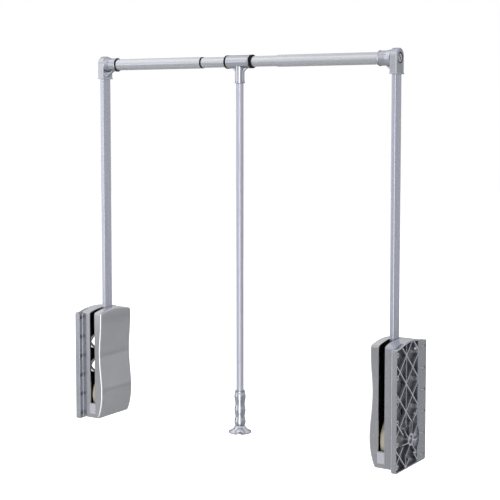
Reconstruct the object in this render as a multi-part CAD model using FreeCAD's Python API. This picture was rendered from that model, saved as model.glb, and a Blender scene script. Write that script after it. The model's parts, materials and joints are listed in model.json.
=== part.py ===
import FreeCAD, Part
import math
import os

os.makedirs("parts", exist_ok=True)

# A pull-down closet rod. Front is -Y, up is +Z, and the wall plates face +X and -X.
# Every size is in millimetres. Each lift unit is made for the right side about its own
# arm plane, with s counted along +X from that plane towards the wall, then moved into
# place and mirrored for the left side.

V = FreeCAD.Vector
X_AXIS = V(1, 0, 0)
Y_AXIS = V(0, 1, 0)
Z_AXIS = V(0, 0, 1)
HALF_SHARE = 0.5

# whole object
ARM_PLANE_X = 377.5
ROD_Z = 830.0

# rod tubes
OUTER_R = 12.7
TUBE_WALL = 1.2
SLIDE_CLEARANCE = 0.1
OUTER_BORE_R = OUTER_R - TUBE_WALL
INNER_R = OUTER_BORE_R - SLIDE_CLEARANCE

# arms
ARM_WIDTH = 10.4
ARM_DEPTH = 27.0
ARM_WALL = 1.5
ARM_EDGE_R = 2.6
ARM_FOOT_RISE = 46.0
ARM_TOP_DROP = 9.0
ARM_SWING = math.radians(95.0)
TONGUE_FIT = 0.1
TONGUE_LENGTH = 58.0
COLLAR_RISE = 34.0
RIVET_R = 2.0
RIVET_HEAD_R = 4.0
RIVET_HEAD = 0.9
RIVET_RISES = (18.0, 44.0)

# wall case
PLATE_HEIGHT = 252.0
PLATE_THICKNESS = 10.0
PLATE_CORNER_R = 4.0
FLANGE_WIDTH = 13.5
BODY_HALF_DEPTH = 56.0
PLATE_HALF_DEPTH = BODY_HALF_DEPTH + FLANGE_WIDTH
BODY_FOOT_Z = 2.0
BODY_SIDE_Z = PLATE_HEIGHT
CROWN_RISE = 8.0
BODY_CROWN_Z = BODY_SIDE_Z + CROWN_RISE
BODY_CORNER_R = 5.0
ARM_SIDE_GAP = 1.8
SLOT_HALF_WIDTH = HALF_SHARE * ARM_WIDTH + ARM_SIDE_GAP
CASE_BODY_WIDTH = 22.5
WALL = 2.6
CASE_FLOOR = 2.2
PLATE_INNER_S = SLOT_HALF_WIDTH + CASE_BODY_WIDTH
WALL_FACE_S = PLATE_INNER_S + PLATE_THICKNESS
FLOOR_S = PLATE_INNER_S + CASE_FLOOR
RIM = 2.5

# screw rows in the flanges
HOLE_OUT = 7.0
HOLE_ROW_Y = BODY_HALF_DEPTH + HOLE_OUT
HOLE_FIRST_Z = 12.5
HOLES_PER_ROW = 6
HOLE_R = 2.5
HOLE_BOSS_R = 5.0
HOLE_PITCH = (PLATE_HEIGHT - HOLE_FIRST_Z - HOLE_FIRST_Z) / (HOLES_PER_ROW - 1)

# lattice of diagonal ribs on the wall side
LATTICE_BAND = 40.0
LATTICE_LEAD = 13.0
LATTICE_BACK_Y = PLATE_HALF_DEPTH - LATTICE_BAND
LATTICE_COLUMN_Y = -PLATE_HALF_DEPTH - LATTICE_LEAD
LATTICE_COLUMN_STEP = 29.5
LATTICE_COLUMNS = 5
LATTICE_ROW_Z = -25.4
LATTICE_ROW_STEP = 57.4
LATTICE_ROWS = 6
RIB = 2.2
THIN_RIB = 1.6
OPENING_COLUMN = 3
OPENING_ROWS = (2, 3)
OPENING_BACK = 4.0
OPENING_FRONT = 38.0
OPENING_SHOULDER = 23.0
OPENING_HALF_HEIGHT = 16.0
OPENING_TIP_HALF_HEIGHT = 6.5
MIDDLE_COLUMN = 2

# pivot
COVER_FLOOR = 3.0
HUB_FLOOR_GAP = 7.0
LOBE_GAP = 3.4
LOBE_STEP = 6.0
LOBE_R = BODY_HALF_DEPTH - WALL - LOBE_GAP
HUB_R = LOBE_R - LOBE_STEP
PIVOT_Z = BODY_FOOT_Z + COVER_FLOOR + HUB_FLOOR_GAP + HUB_R
AXLE_R = 5.0
AXLE_HEAD_R = 8.0
AXLE_HEAD = 4.0
STAR_R = 38.0
STAR_BOSS_R = 12.5
STAR_BOSS_BORE_R = 9.0
AXLE_TUBE_R = 11.0
STAR_BOWS = 4
STAR_BOW_R = 62.0
RUN_CLEARANCE = 0.05
WASHER_R = 10.5

# cover: how far its broad face stands out of the slot side at each height,
# as shares of the plate's height and of the bulge
COVER_BULGE = 21.4
COVER_FACE_SHARES = (
    (-0.032, 0.234), (0.008, 0.42), (0.048, 0.617), (0.095, 0.785), (0.159, 0.935), (0.238, 1.0),
    (0.325, 0.972), (0.42, 0.869), (0.516, 0.766), (0.611, 0.72), (0.698, 0.757), (0.794, 0.85),
    (0.897, 0.916), (0.984, 0.935), (1.071, 0.935),
)
COVER_REACH = SLOT_HALF_WIDTH + COVER_BULGE
COVER_EDGE_R = 4.0
ROOF_FRONT_Y = 17.0
SLOT_FOOT_Z = 37.0
BRIDGE_TOP_Z = 12.0
PILLAR_INSET = 6.0
PILLAR_Y = BODY_HALF_DEPTH - PILLAR_INSET
PILLAR_R = 4.2
AXLE_BOSS_R = 9.0
GUIDE_DEPTH = 3.0
COVER_DOT_INSET = 12.0
COVER_DOT_Y = COVER_DOT_INSET - BODY_HALF_DEPTH
COVER_DOT_DROP = 14.0
COVER_DOT_R = 1.6

# bumper
BUMPER_SIDE_LIP = 1.3
BUMPER_HALF_WIDTH = SLOT_HALF_WIDTH + BUMPER_SIDE_LIP
BUMPER_DEPTH = 6.0
BUMPER_PROUD = 1.0
BUMPER_EDGE_R = 1.0

# case screws
CASE_SCREW_R = 2.0
CASE_SCREW_HEAD_R = 3.8
CASE_SCREW_HEAD = 2.4
CASE_SCREW_SINK = 3.4
CASE_SCREW_BITE = 12.0
CASE_TUBE_R = 5.2

# hub with its toothed sector
LOBE_START = math.radians(115.0)
LOBE_END = math.radians(205.0)
HUB_SIDE_GAP = 2.0
HUB_HALF_WIDTH = SLOT_HALF_WIDTH - HUB_SIDE_GAP
BUSH_R = 7.0
BUSH_FLANGE_R = 10.0
BUSH_FLANGE = 1.0
BUSH_LENGTH = 9.0
GEAR_MODULE = 2.5
GEAR_TEETH = 18
GEAR_WIDTH = 10.0
GEAR_FIRST_TOOTH = -8
GEAR_LAST_TOOTH = 2
FLANK_STEPS = 4
PRESSURE_ANGLE = math.radians(20.0)
BACKLASH = 0.3
DEDENDUM_SHARE = 1.25
GEAR_R = HALF_SHARE * GEAR_MODULE * GEAR_TEETH
GEAR_S = -HUB_HALF_WIDTH - GEAR_WIDTH

# rack and gas spring
RACK_SIDE_GAP = 0.8
RACK_BACK = 8.0
RACK_FLOOR_GAP = 7.5
RACK_HEAD = 14.0
RACK_FIRST_TOOTH = -5
RACK_LAST_TOOTH = 2
RACK_PITCH = math.pi * GEAR_MODULE
RACK_ROOT_Y = GEAR_R + DEDENDUM_SHARE * GEAR_MODULE
RACK_SIDE_S = -HUB_HALF_WIDTH - RACK_SIDE_GAP
RACK_FOOT_Z = BODY_FOOT_Z + COVER_FLOOR + RACK_FLOOR_GAP
RACK_TOP_Z = PIVOT_Z + RACK_LAST_TOOTH * RACK_PITCH + RACK_HEAD
SPRING_S = HALF_SHARE * (GEAR_S + RACK_SIDE_S)
SPRING_Y = RACK_ROOT_Y + HALF_SHARE * RACK_BACK
PISTON_ROD_R = 3.0
PISTON_ROD_BITE = 8.0
PISTON_R = 4.8
PISTON_LENGTH = 8.0
CYLINDER_WALL = 1.55
CYLINDER_BORE_R = PISTON_R + RUN_CLEARANCE
CYLINDER_R = CYLINDER_BORE_R + CYLINDER_WALL
CYLINDER_CAP = 6.0
CYLINDER_GAP = 7.0
PISTON_GAP = 10.0
CYLINDER_FOOT_Z = RACK_TOP_Z + GEAR_R * ARM_SWING + CYLINDER_GAP
PISTON_Z = CYLINDER_FOOT_Z + CYLINDER_CAP + PISTON_GAP
EYE_DROP = 16.0
EYE_NECK = 10.0
EYE_Z = BODY_SIDE_Z - EYE_DROP
CYLINDER_TOP_Z = EYE_Z - EYE_NECK
EYE_R = 6.0
EYE_HALF_WIDTH = 4.0
CYLINDER_PIN_R = 2.5
PIN_BITE = 12.0
PIN_FOOT_S = SLOT_HALF_WIDTH + PIN_BITE
PIN_BOSS_R = 5.0

# elbows
ELBOW_SIDE_WALL = 2.9
ELBOW_FRONT_WALL = 3.6
ELBOW_WIDTH = ARM_WIDTH + ELBOW_SIDE_WALL + ELBOW_SIDE_WALL
ELBOW_DEPTH = ARM_DEPTH + ELBOW_FRONT_WALL + ELBOW_FRONT_WALL
ELBOW_RISE = 20.0
ELBOW_DROP = 32.5
ELBOW_EDGE_R = 2.0
SLEEVE_WALL = 2.5
SLEEVE_R = OUTER_R + SLEEVE_WALL
SLEEVE_LENGTH = 30.0
TAPER_STEP = 2.4
TAPER_R = SLEEVE_R + TAPER_STEP
TAPER_LENGTH = 13.0
SLEEVE_GROOVES = 8
SLEEVE_GROOVE_R = 0.9
SLEEVE_GROOVE_MARGIN = 3.0
GUSSET_RUN = 19.0
GUSSET_DROP = 27.0
GUSSET_THICKNESS = 7.0
GUSSET_DISH = 2.0
GUSSET_RIM = 2.2
SOCKET_FIT = 0.05
ELBOW_RECESS_R = 11.5
ELBOW_RECESS = 2.2
ELBOW_SCREW_R = 2.5
ELBOW_SCREW_HEAD_R = 8.8
ELBOW_SCREW_HEAD = 1.9
ELBOW_SCREW_BITE = 14.0
DRIVE_R = 1.8
DRIVE_DEPTH = 1.4
PLUG_LENGTH = 18.0
SEAL_LENGTH = 1.2
SEAL_STEP = 2.2
SEAL_R = OUTER_R + SEAL_STEP

# hanging rod
OUTER_END_X = 100.0
FERRULE_LENGTH = 3.0
FERRULE_STEP = 0.2
FERRULE_R = OUTER_R - FERRULE_STEP
INNER_HALF_LENGTH = 230.0

# tee and pull rod
TEE_WALL = 2.8
TEE_R = INNER_R + TEE_WALL
TEE_HALF_LENGTH = 29.0
TEE_EDGE_R = 1.5
RING_GAP = 0.2
RIGHT_RING_LENGTH = 6.0
LEFT_RING_LENGTH = 5.0
RING_STEP = 3.4
RING_R = INNER_R + RING_STEP
RING_EDGE_R = 1.2
PULL_R = 8.0
PULL_WALL = 1.2
PULL_TOP_GAP = 3.8
PULL_TOP_DROP = TEE_R + PULL_TOP_GAP
STEM_WALL = 2.5
STEM_R = PULL_R + STEM_WALL
STEM_BITE = 28.5
STEM_DROP = PULL_TOP_DROP + STEM_BITE
STEM_GROOVES = 10
STEM_GROOVE_R = 1.0
STEM_GROOVE_MARGIN = 4.5
STEM_GROOVE_TOP_DROP = TEE_R + STEM_GROOVE_MARGIN
STEM_GROOVE_FOOT_DROP = STEM_DROP - STEM_GROOVE_MARGIN
WEB_THICKNESS = 5.0
WEB_RUN = 23.0
WEB_DROP = 34.0
WEB_BOW_SHARE = 0.34
TEE_PIN_R = 1.6
TEE_PIN_DROP = HALF_SHARE * (PULL_TOP_DROP + STEM_DROP)

# grip
GRIP_TOP_DROP = 725.5
GRIP_LENGTH = 77.5
GRIP_FOOT_DROP = GRIP_TOP_DROP + GRIP_LENGTH
GRIP_BORE = 40.0
GRIP_LIP_STEP = 3.0
GRIP_LIP_R = PULL_R + GRIP_LIP_STEP
GRIP_LIP = 3.0
WAIST_STEP = 2.5
WAIST_R = PULL_R + WAIST_STEP
SWELL_STEP = 1.8
SWELL_R = WAIST_R + SWELL_STEP
SWELL_SHARES = (0.27, 0.36, 0.37)
FOOT_HEIGHT = 16.0
FOOT_DROP = GRIP_FOOT_DROP + FOOT_HEIGHT
FOOT_NECK_STEP = 0.2
FOOT_NECK_R = WAIST_R - FOOT_NECK_STEP
FOOT_R = 25.0
FOOT_RIM = 2.4
FOOT_FLARE_BOW = 1.3
FOOT_DISH = 3.0
FOOT_SCREW_R = 2.0
FOOT_SCREW_HEAD_R = 4.5
FOOT_SCREW_HEAD = 2.2
FOOT_SCREW_BITE = 16.0


def box(x0, x1, y0, y1, z0, z1):
    """Box between two corners."""
    return Part.makeBox(x1 - x0, y1 - y0, z1 - z0, V(x0, y0, z0))


def bar_x(radius, s0, s1, y, z):
    """Round bar along X."""
    return Part.makeCylinder(radius, s1 - s0, V(s0, y, z), X_AXIS)


def bar_y(radius, y0, y1, x, z):
    """Round bar along Y."""
    return Part.makeCylinder(radius, y1 - y0, V(x, y0, z), Y_AXIS)


def bar_z(radius, z0, z1, x, y):
    """Round bar along Z."""
    return Part.makeCylinder(radius, z1 - z0, V(x, y, z0), Z_AXIS)


def prism_x(points, s0, s1):
    """Straight prism along X over a closed outline of (y, z) points."""
    corners = [V(s0, y, z) for y, z in points]
    face = Part.Face(Part.makePolygon(corners + corners[:1]))
    return face.extrude(V(s1 - s0, 0, 0))


def prism_y(points, y0, y1):
    """Straight prism along Y over a closed outline of (x, z) points."""
    corners = [V(x, y0, z) for x, z in points]
    face = Part.Face(Part.makePolygon(corners + corners[:1]))
    return face.extrude(V(0, y1 - y0, 0))


def joined(shapes):
    """One solid out of shapes that overlap or touch."""
    first = shapes[0]
    return first.multiFuse(shapes[1:]).removeSplitter()


def lines_along(shape, axis):
    """Straight edges of a shape that run along an axis."""
    found = []
    for edge in shape.Edges:
        straight = edge.Curve.TypeId == "Part::GeomLine"
        if straight and abs(abs(edge.tangentAt(edge.FirstParameter).dot(axis)) - 1) < 1e-6:
            found.append(edge)
    return found


def rounded_box(x0, x1, y0, y1, z0, z1, radius, axis):
    """Box with the four edges along one axis rounded."""
    block = box(x0, x1, y0, y1, z0, z1)
    return block.makeFillet(radius, lines_along(block, axis))


def hole_heights():
    """Heights of the screw holes, from the lowest up."""
    return [HOLE_FIRST_Z + k * HOLE_PITCH for k in range(HOLES_PER_ROW)]


def body_block(inset, floor, s0, s1):
    """Arched block of a lift unit, set in from its outside by a wall and a floor."""
    depth = BODY_HALF_DEPTH - inset
    foot = BODY_FOOT_Z + floor
    side = BODY_SIDE_Z - inset
    crown = BODY_CROWN_Z - inset
    corners = [V(s0, depth, side), V(s0, depth, foot), V(s0, -depth, foot), V(s0, -depth, side)]
    arch = Part.Arc(corners[-1], V(s0, 0, crown), corners[0]).toShape()
    wire = Part.Wire([Part.makePolygon(corners), arch])
    return Part.Face(wire).extrude(V(s1 - s0, 0, 0))


def outer_block(s0, s1):
    """Outside of a lift unit with its four corners rounded."""
    block = body_block(0, 0, s0, s1)
    return block.makeFillet(BODY_CORNER_R, lines_along(block, X_AXIS))


def lattice_centres():
    """Middles of the diamond pockets, as (y, z, column)."""
    middles = []
    for column in range(LATTICE_COLUMNS):
        y = LATTICE_COLUMN_Y + column * LATTICE_COLUMN_STEP
        lift = (column % 2) * HALF_SHARE * LATTICE_ROW_STEP
        for row in range(LATTICE_ROWS):
            middles.append((y, LATTICE_ROW_Z + lift + row * LATTICE_ROW_STEP, column))
    return middles


def diamond(y, z, s0, s1):
    """Diamond prism inside one field of the lattice."""
    slope = LATTICE_ROW_STEP * HALF_SHARE / LATTICE_COLUMN_STEP
    half_z = LATTICE_ROW_STEP * HALF_SHARE - RIB * HALF_SHARE * math.hypot(1, slope)
    half_y = half_z / slope
    points = [(y - half_y, z), (y, z - half_z), (y + half_y, z), (y, z + half_z)]
    return prism_x(points, s0, s1)


def lattice_pockets():
    """Diamond pockets cut from the wall side of the plate, from the front rim to the rear band."""
    fields = box(FLOOR_S, WALL_FACE_S, RIM - PLATE_HALF_DEPTH, LATTICE_BACK_Y, RIM, PLATE_HEIGHT - RIM)
    front = box(FLOOR_S, WALL_FACE_S, -BODY_HALF_DEPTH, LATTICE_BACK_Y, 0, BODY_CROWN_Z)
    fields = fields.fuse(body_block(RIM, RIM, FLOOR_S, WALL_FACE_S).common(front))
    star = bar_x(STAR_R, FLOOR_S, WALL_FACE_S, 0, PIVOT_Z)
    half_rib = THIN_RIB * HALF_SHARE
    pockets = []
    for y, z, column in lattice_centres():
        pocket = diamond(y, z, FLOOR_S, WALL_FACE_S).common(fields)
        if column == MIDDLE_COLUMN:
            pocket = pocket.cut(box(FLOOR_S, WALL_FACE_S, y - half_rib, y + half_rib, 0, BODY_CROWN_Z))
        pocket = pocket.cut(star)
        if pocket.Volume > 1:
            pockets.append(pocket)
    return pockets


def floor_openings():
    """Openings through the plate's floor in two fields beside the middle column, narrower in front."""
    y = LATTICE_COLUMN_Y + OPENING_COLUMN * LATTICE_COLUMN_STEP
    tip = OPENING_TIP_HALF_HEIGHT
    high = OPENING_HALF_HEIGHT
    half = [(y - OPENING_FRONT, tip), (y - OPENING_SHOULDER, high), (y - OPENING_BACK, high)]
    cuts = []
    for row in OPENING_ROWS:
        z = LATTICE_ROW_Z + (row + HALF_SHARE) * LATTICE_ROW_STEP
        outline = [(at, z + up) for at, up in half] + [(at, z - up) for at, up in reversed(half)]
        cuts.append(prism_x(outline, PLATE_INNER_S, FLOOR_S))
    return cuts


def star_pocket():
    """Round pocket about the pivot, left with a boss and bowed ribs that cross in it."""
    pocket = bar_x(STAR_R, FLOOR_S, WALL_FACE_S, 0, PIVOT_Z)
    pocket = pocket.cut(bar_x(STAR_BOSS_R, FLOOR_S, WALL_FACE_S, 0, PIVOT_Z))
    half_rib = HALF_SHARE * THIN_RIB
    for k in range(STAR_BOWS):
        angle = (k + HALF_SHARE) * math.pi / STAR_BOWS
        y = STAR_BOW_R * math.cos(angle)
        z = PIVOT_Z + STAR_BOW_R * math.sin(angle)
        bow = bar_x(STAR_BOW_R + half_rib, FLOOR_S, WALL_FACE_S, y, z)
        pocket = pocket.cut(bow.cut(bar_x(STAR_BOW_R - half_rib, FLOOR_S, WALL_FACE_S, y, z)))
    return pocket


def case_tubes():
    """Posts inside the wall case: six for its screws, one for the axle and one for the cylinder pin."""
    posts = [bar_x(CASE_TUBE_R, SLOT_HALF_WIDTH, PLATE_INNER_S, PILLAR_Y, z) for z in hole_heights()]
    posts.append(bar_x(AXLE_TUBE_R, SLOT_HALF_WIDTH, PLATE_INNER_S, 0, PIVOT_Z))
    posts.append(bar_x(PIN_BOSS_R, SLOT_HALF_WIDTH, PLATE_INNER_S, SPRING_Y, EYE_Z))
    return [post.common(body_block(0, 0, SLOT_HALF_WIDTH, PLATE_INNER_S)) for post in posts]


def case_holes():
    """Everything drilled or notched in the wall case."""
    seat = WALL_FACE_S - CASE_SCREW_SINK
    cuts = [bar_x(STAR_BOSS_BORE_R, FLOOR_S, WALL_FACE_S, 0, PIVOT_Z)]
    cuts.append(bar_x(AXLE_R, SLOT_HALF_WIDTH, FLOOR_S, 0, PIVOT_Z))
    cuts.append(bar_x(CYLINDER_PIN_R, SLOT_HALF_WIDTH, PIN_FOOT_S, SPRING_Y, EYE_Z))
    for z in hole_heights():
        for y in (-HOLE_ROW_Y, HOLE_ROW_Y):
            cuts.append(bar_x(HOLE_R, PLATE_INNER_S, WALL_FACE_S, y, z))
        cuts.append(bar_x(CASE_SCREW_R, SLOT_HALF_WIDTH, seat, PILLAR_Y, z))
        cuts.append(bar_x(CASE_SCREW_HEAD_R, seat, WALL_FACE_S, PILLAR_Y, z))
    front = -BODY_HALF_DEPTH
    cuts.append(box(SLOT_HALF_WIDTH, BUMPER_HALF_WIDTH, front, front + BUMPER_DEPTH,
                    BRIDGE_TOP_Z, SLOT_FOOT_Z))
    return cuts


def make_wall_case():
    """Wall case: flanged plate with its lattice, and the open body half with the posts inside."""
    plate = rounded_box(PLATE_INNER_S, WALL_FACE_S, -PLATE_HALF_DEPTH, PLATE_HALF_DEPTH, 0, PLATE_HEIGHT,
                        PLATE_CORNER_R, X_AXIS)
    roof = outer_block(PLATE_INNER_S, WALL_FACE_S)
    roof = roof.cut(box(PLATE_INNER_S, WALL_FACE_S, -BODY_HALF_DEPTH, BODY_HALF_DEPTH, 0, PLATE_HEIGHT))
    plate = joined([plate, roof])
    plate = plate.cut(Part.makeCompound(lattice_pockets()))
    plate = plate.cut(star_pocket())
    plate = plate.cut(Part.makeCompound(floor_openings()))
    bosses = [bar_x(HOLE_BOSS_R, PLATE_INNER_S, WALL_FACE_S, -HOLE_ROW_Y, z) for z in hole_heights()]
    body = outer_block(SLOT_HALF_WIDTH, PLATE_INNER_S)
    body = body.cut(body_block(WALL, COVER_FLOOR, SLOT_HALF_WIDTH, PLATE_INNER_S))
    case = joined([plate, body] + bosses + case_tubes())
    return case.cut(Part.makeCompound(case_holes())).removeSplitter()


def cover_profile(inset):
    """Side profile of the cover in X and Z, swept across its whole depth."""
    front = -BODY_HALF_DEPTH
    face = [V(inset - SLOT_HALF_WIDTH - out * COVER_BULGE, front, up * BODY_SIDE_Z)
            for up, out in COVER_FACE_SHARES]
    curve = Part.BSplineCurve()
    curve.interpolate(face)
    straight = Part.makePolygon([face[-1], V(SLOT_HALF_WIDTH, front, face[-1].z),
                                 V(SLOT_HALF_WIDTH, front, face[0].z), face[0]])
    outline = Part.Face(Part.Wire([curve.toShape()] + straight.Edges))
    return outline.extrude(V(0, BODY_HALF_DEPTH + BODY_HALF_DEPTH, 0))


def cover_outside():
    """Outer form of the cover, with the long edges of the broad face rounded."""
    solid = outer_block(-COVER_REACH - WALL, SLOT_HALF_WIDTH).common(cover_profile(0))
    edges = []
    for edge in solid.Edges:
        bounds = edge.BoundBox
        flat = bounds.YLength < WALL * HALF_SHARE and abs(bounds.YMin) > BODY_HALF_DEPTH - WALL
        if flat and bounds.ZLength > PIVOT_Z and bounds.XMax < -SLOT_HALF_WIDTH:
            edges.append(edge)
    return solid.makeFillet(COVER_EDGE_R, edges)


def make_cover():
    """Wavy cover: a shell open to the wall case, with the arm slot, screw pillars and axle boss."""
    outside = cover_outside()
    reach = COVER_REACH
    hollow = body_block(WALL, COVER_FLOOR, -reach, SLOT_HALF_WIDTH).common(cover_profile(WALL))
    shell = outside.cut(hollow)
    front = -BODY_HALF_DEPTH
    extras = [bar_x(PILLAR_R, -reach, SLOT_HALF_WIDTH, PILLAR_Y, z) for z in hole_heights()]
    extras.append(bar_x(AXLE_BOSS_R, -reach, GEAR_S - BUSH_FLANGE - SLIDE_CLEARANCE, 0, PIVOT_Z))
    extras.append(bar_x(PIN_BOSS_R, -reach, SPRING_S - EYE_HALF_WIDTH, SPRING_Y, EYE_Z))
    rail = RACK_ROOT_Y + RACK_BACK + SLIDE_CLEARANCE
    extras.append(box(-reach, RACK_SIDE_S, rail, rail + GUIDE_DEPTH, BODY_FOOT_Z, HALF_SHARE * EYE_Z))
    extras = [extra.common(outside) for extra in extras]
    cover = joined([shell] + extras)
    cuts = [box(-SLOT_HALF_WIDTH, SLOT_HALF_WIDTH, front, ROOF_FRONT_Y, SLOT_FOOT_Z, BODY_CROWN_Z)]
    cuts.append(box(-BUMPER_HALF_WIDTH, SLOT_HALF_WIDTH, front, front + BUMPER_DEPTH,
                    BRIDGE_TOP_Z, SLOT_FOOT_Z))
    cuts.append(bar_x(AXLE_R, WALL - reach, 0, 0, PIVOT_Z))
    cuts.append(bar_x(CYLINDER_PIN_R, SPRING_S - EYE_HALF_WIDTH - WALL, 0, SPRING_Y, EYE_Z))
    for z in hole_heights():
        cuts.append(bar_x(CASE_SCREW_R, SLOT_HALF_WIDTH - CASE_SCREW_BITE, SLOT_HALF_WIDTH, PILLAR_Y, z))
    cuts.append(bar_x(COVER_DOT_R, -reach, -reach + WALL, COVER_DOT_Y, BODY_SIDE_Z - COVER_DOT_DROP))
    return cover.cut(Part.makeCompound(cuts)).removeSplitter()


def make_bumper():
    """Light block that closes the foot of the slot and stops the lowered arm."""
    front = -BODY_HALF_DEPTH
    block = rounded_box(-BUMPER_HALF_WIDTH, BUMPER_HALF_WIDTH, front, front + BUMPER_DEPTH,
                        BRIDGE_TOP_Z, SLOT_FOOT_Z, BUMPER_EDGE_R, X_AXIS)
    face = box(-BUMPER_HALF_WIDTH, BUMPER_HALF_WIDTH, front - BUMPER_PROUD, front,
               BRIDGE_TOP_Z + BUMPER_EDGE_R, SLOT_FOOT_Z - BUMPER_EDGE_R)
    return joined([block, face])


def make_axle():
    """Pivot axle, with its head in the star of the wall case and its tip in the cover."""
    return joined([bar_x(AXLE_R, WALL - COVER_REACH, FLOOR_S, 0, PIVOT_Z),
                   bar_x(AXLE_HEAD_R, FLOOR_S, FLOOR_S + AXLE_HEAD, 0, PIVOT_Z)])


def make_axle_washer():
    """Washer between the axle post of the wall case and the hub bush."""
    start = HUB_HALF_WIDTH + BUSH_FLANGE + SLIDE_CLEARANCE
    disc = bar_x(WASHER_R, start, SLOT_HALF_WIDTH, 0, PIVOT_Z)
    return disc.cut(bar_x(AXLE_R, start, SLOT_HALF_WIDTH, 0, PIVOT_Z))


def make_case_screws():
    """Six screws that hold the cover to the wall case."""
    seat = WALL_FACE_S - CASE_SCREW_SINK
    screws = []
    for z in hole_heights():
        shank = bar_x(CASE_SCREW_R, SLOT_HALF_WIDTH - CASE_SCREW_BITE, seat, PILLAR_Y, z)
        head = bar_x(CASE_SCREW_HEAD_R - SLIDE_CLEARANCE, seat, seat + CASE_SCREW_HEAD, PILLAR_Y, z)
        drive = bar_x(DRIVE_R, seat + CASE_SCREW_HEAD - DRIVE_DEPTH, seat + CASE_SCREW_HEAD, PILLAR_Y, z)
        screws.append(shank.fuse(head).cut(drive).removeSplitter())
    return Part.makeCompound(screws)


def involute(radius):
    """Angle the flank has swept from the base circle to a radius."""
    base = GEAR_R * math.cos(PRESSURE_ANGLE)
    tangent = math.sqrt(max(0, (radius / base) ** 2 - 1))
    return tangent - math.atan(tangent)


def sector_outline():
    """Outline of the toothed sector in Y and Z about the pivot."""
    base = GEAR_R * math.cos(PRESSURE_ANGLE)
    tip = GEAR_R + GEAR_MODULE
    root = GEAR_R - DEDENDUM_SHARE * GEAR_MODULE
    half_tooth = HALF_SHARE * math.pi / GEAR_TEETH - HALF_SHARE * BACKLASH / GEAR_R
    radii = [base + (tip - base) * k / FLANK_STEPS for k in range(FLANK_STEPS + 1)]
    points = []
    for tooth in range(GEAR_FIRST_TOOTH, GEAR_LAST_TOOTH):
        middle = (tooth + HALF_SHARE) * 2 * math.pi / GEAR_TEETH
        spread = [half_tooth + involute(GEAR_R) - involute(r) for r in radii]
        flank = [(root, spread[0])] + list(zip(radii, spread))
        polar = [(r, middle - a) for r, a in flank] + [(r, middle + a) for r, a in reversed(flank)]
        points += [(r * math.cos(a), PIVOT_Z + r * math.sin(a)) for r, a in polar]
    return points


def hub_lobe():
    """Front lobe of the hub, which fills the foot of the slot while the arm stands up."""
    corners = []
    for angle in (LOBE_START, HALF_SHARE * (LOBE_START + LOBE_END), LOBE_END):
        corners.append(V(-HUB_HALF_WIDTH, LOBE_R * math.cos(angle), PIVOT_Z + LOBE_R * math.sin(angle)))
    centre = V(-HUB_HALF_WIDTH, 0, PIVOT_Z)
    sides = Part.makePolygon([corners[2], centre, corners[0]])
    wire = Part.Wire([Part.Arc(*corners).toShape()] + sides.Edges)
    return Part.Face(wire).extrude(V(HUB_HALF_WIDTH + HUB_HALF_WIDTH, 0, 0))


def make_hub():
    """Beige hub: a lobed disc with a toothed sector, a bore for its bushes and a tongue for the arm."""
    disc = bar_x(HUB_R, -HUB_HALF_WIDTH, HUB_HALF_WIDTH, 0, PIVOT_Z).fuse(hub_lobe())
    root = bar_x(GEAR_R - DEDENDUM_SHARE * GEAR_MODULE, GEAR_S, -HUB_HALF_WIDTH, 0, PIVOT_Z)
    sector = prism_x(sector_outline(), GEAR_S, -HUB_HALF_WIDTH)
    foot = PIVOT_Z + ARM_FOOT_RISE
    collar = box(-HUB_HALF_WIDTH, HUB_HALF_WIDTH, -HALF_SHARE * ARM_DEPTH, HALF_SHARE * ARM_DEPTH,
                 PIVOT_Z + COLLAR_RISE, foot)
    half_x = HALF_SHARE * ARM_WIDTH - ARM_WALL - TONGUE_FIT
    half_y = HALF_SHARE * ARM_DEPTH - ARM_WALL - TONGUE_FIT
    tongue = rounded_box(-half_x, half_x, -half_y, half_y, PIVOT_Z + COLLAR_RISE, foot + TONGUE_LENGTH,
                         ARM_EDGE_R - ARM_WALL, Z_AXIS)
    hub = joined([disc, root, sector, collar, tongue])
    cuts = [bar_x(BUSH_R, GEAR_S, HUB_HALF_WIDTH, 0, PIVOT_Z)]
    cuts += [bar_x(RIVET_R, -HUB_HALF_WIDTH, HUB_HALF_WIDTH, 0, foot + rise) for rise in RIVET_RISES]
    return hub.cut(Part.makeCompound(cuts)).removeSplitter()


def make_hub_bushes():
    """Two flanged bushes, one pressed into each end of the hub's bore."""
    bushes = []
    for face, inward in ((HUB_HALF_WIDTH, -1), (GEAR_S, 1)):
        inner = face + inward * BUSH_LENGTH
        outer = face - inward * BUSH_FLANGE
        barrel = bar_x(BUSH_R, min(face, inner), max(face, inner), 0, PIVOT_Z)
        flange = bar_x(BUSH_FLANGE_R, min(face, outer), max(face, outer), 0, PIVOT_Z)
        bore = bar_x(AXLE_R + RUN_CLEARANCE, min(inner, outer), max(inner, outer), 0, PIVOT_Z)
        bushes.append(barrel.fuse(flange).cut(bore).removeSplitter())
    return Part.makeCompound(bushes)


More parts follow.
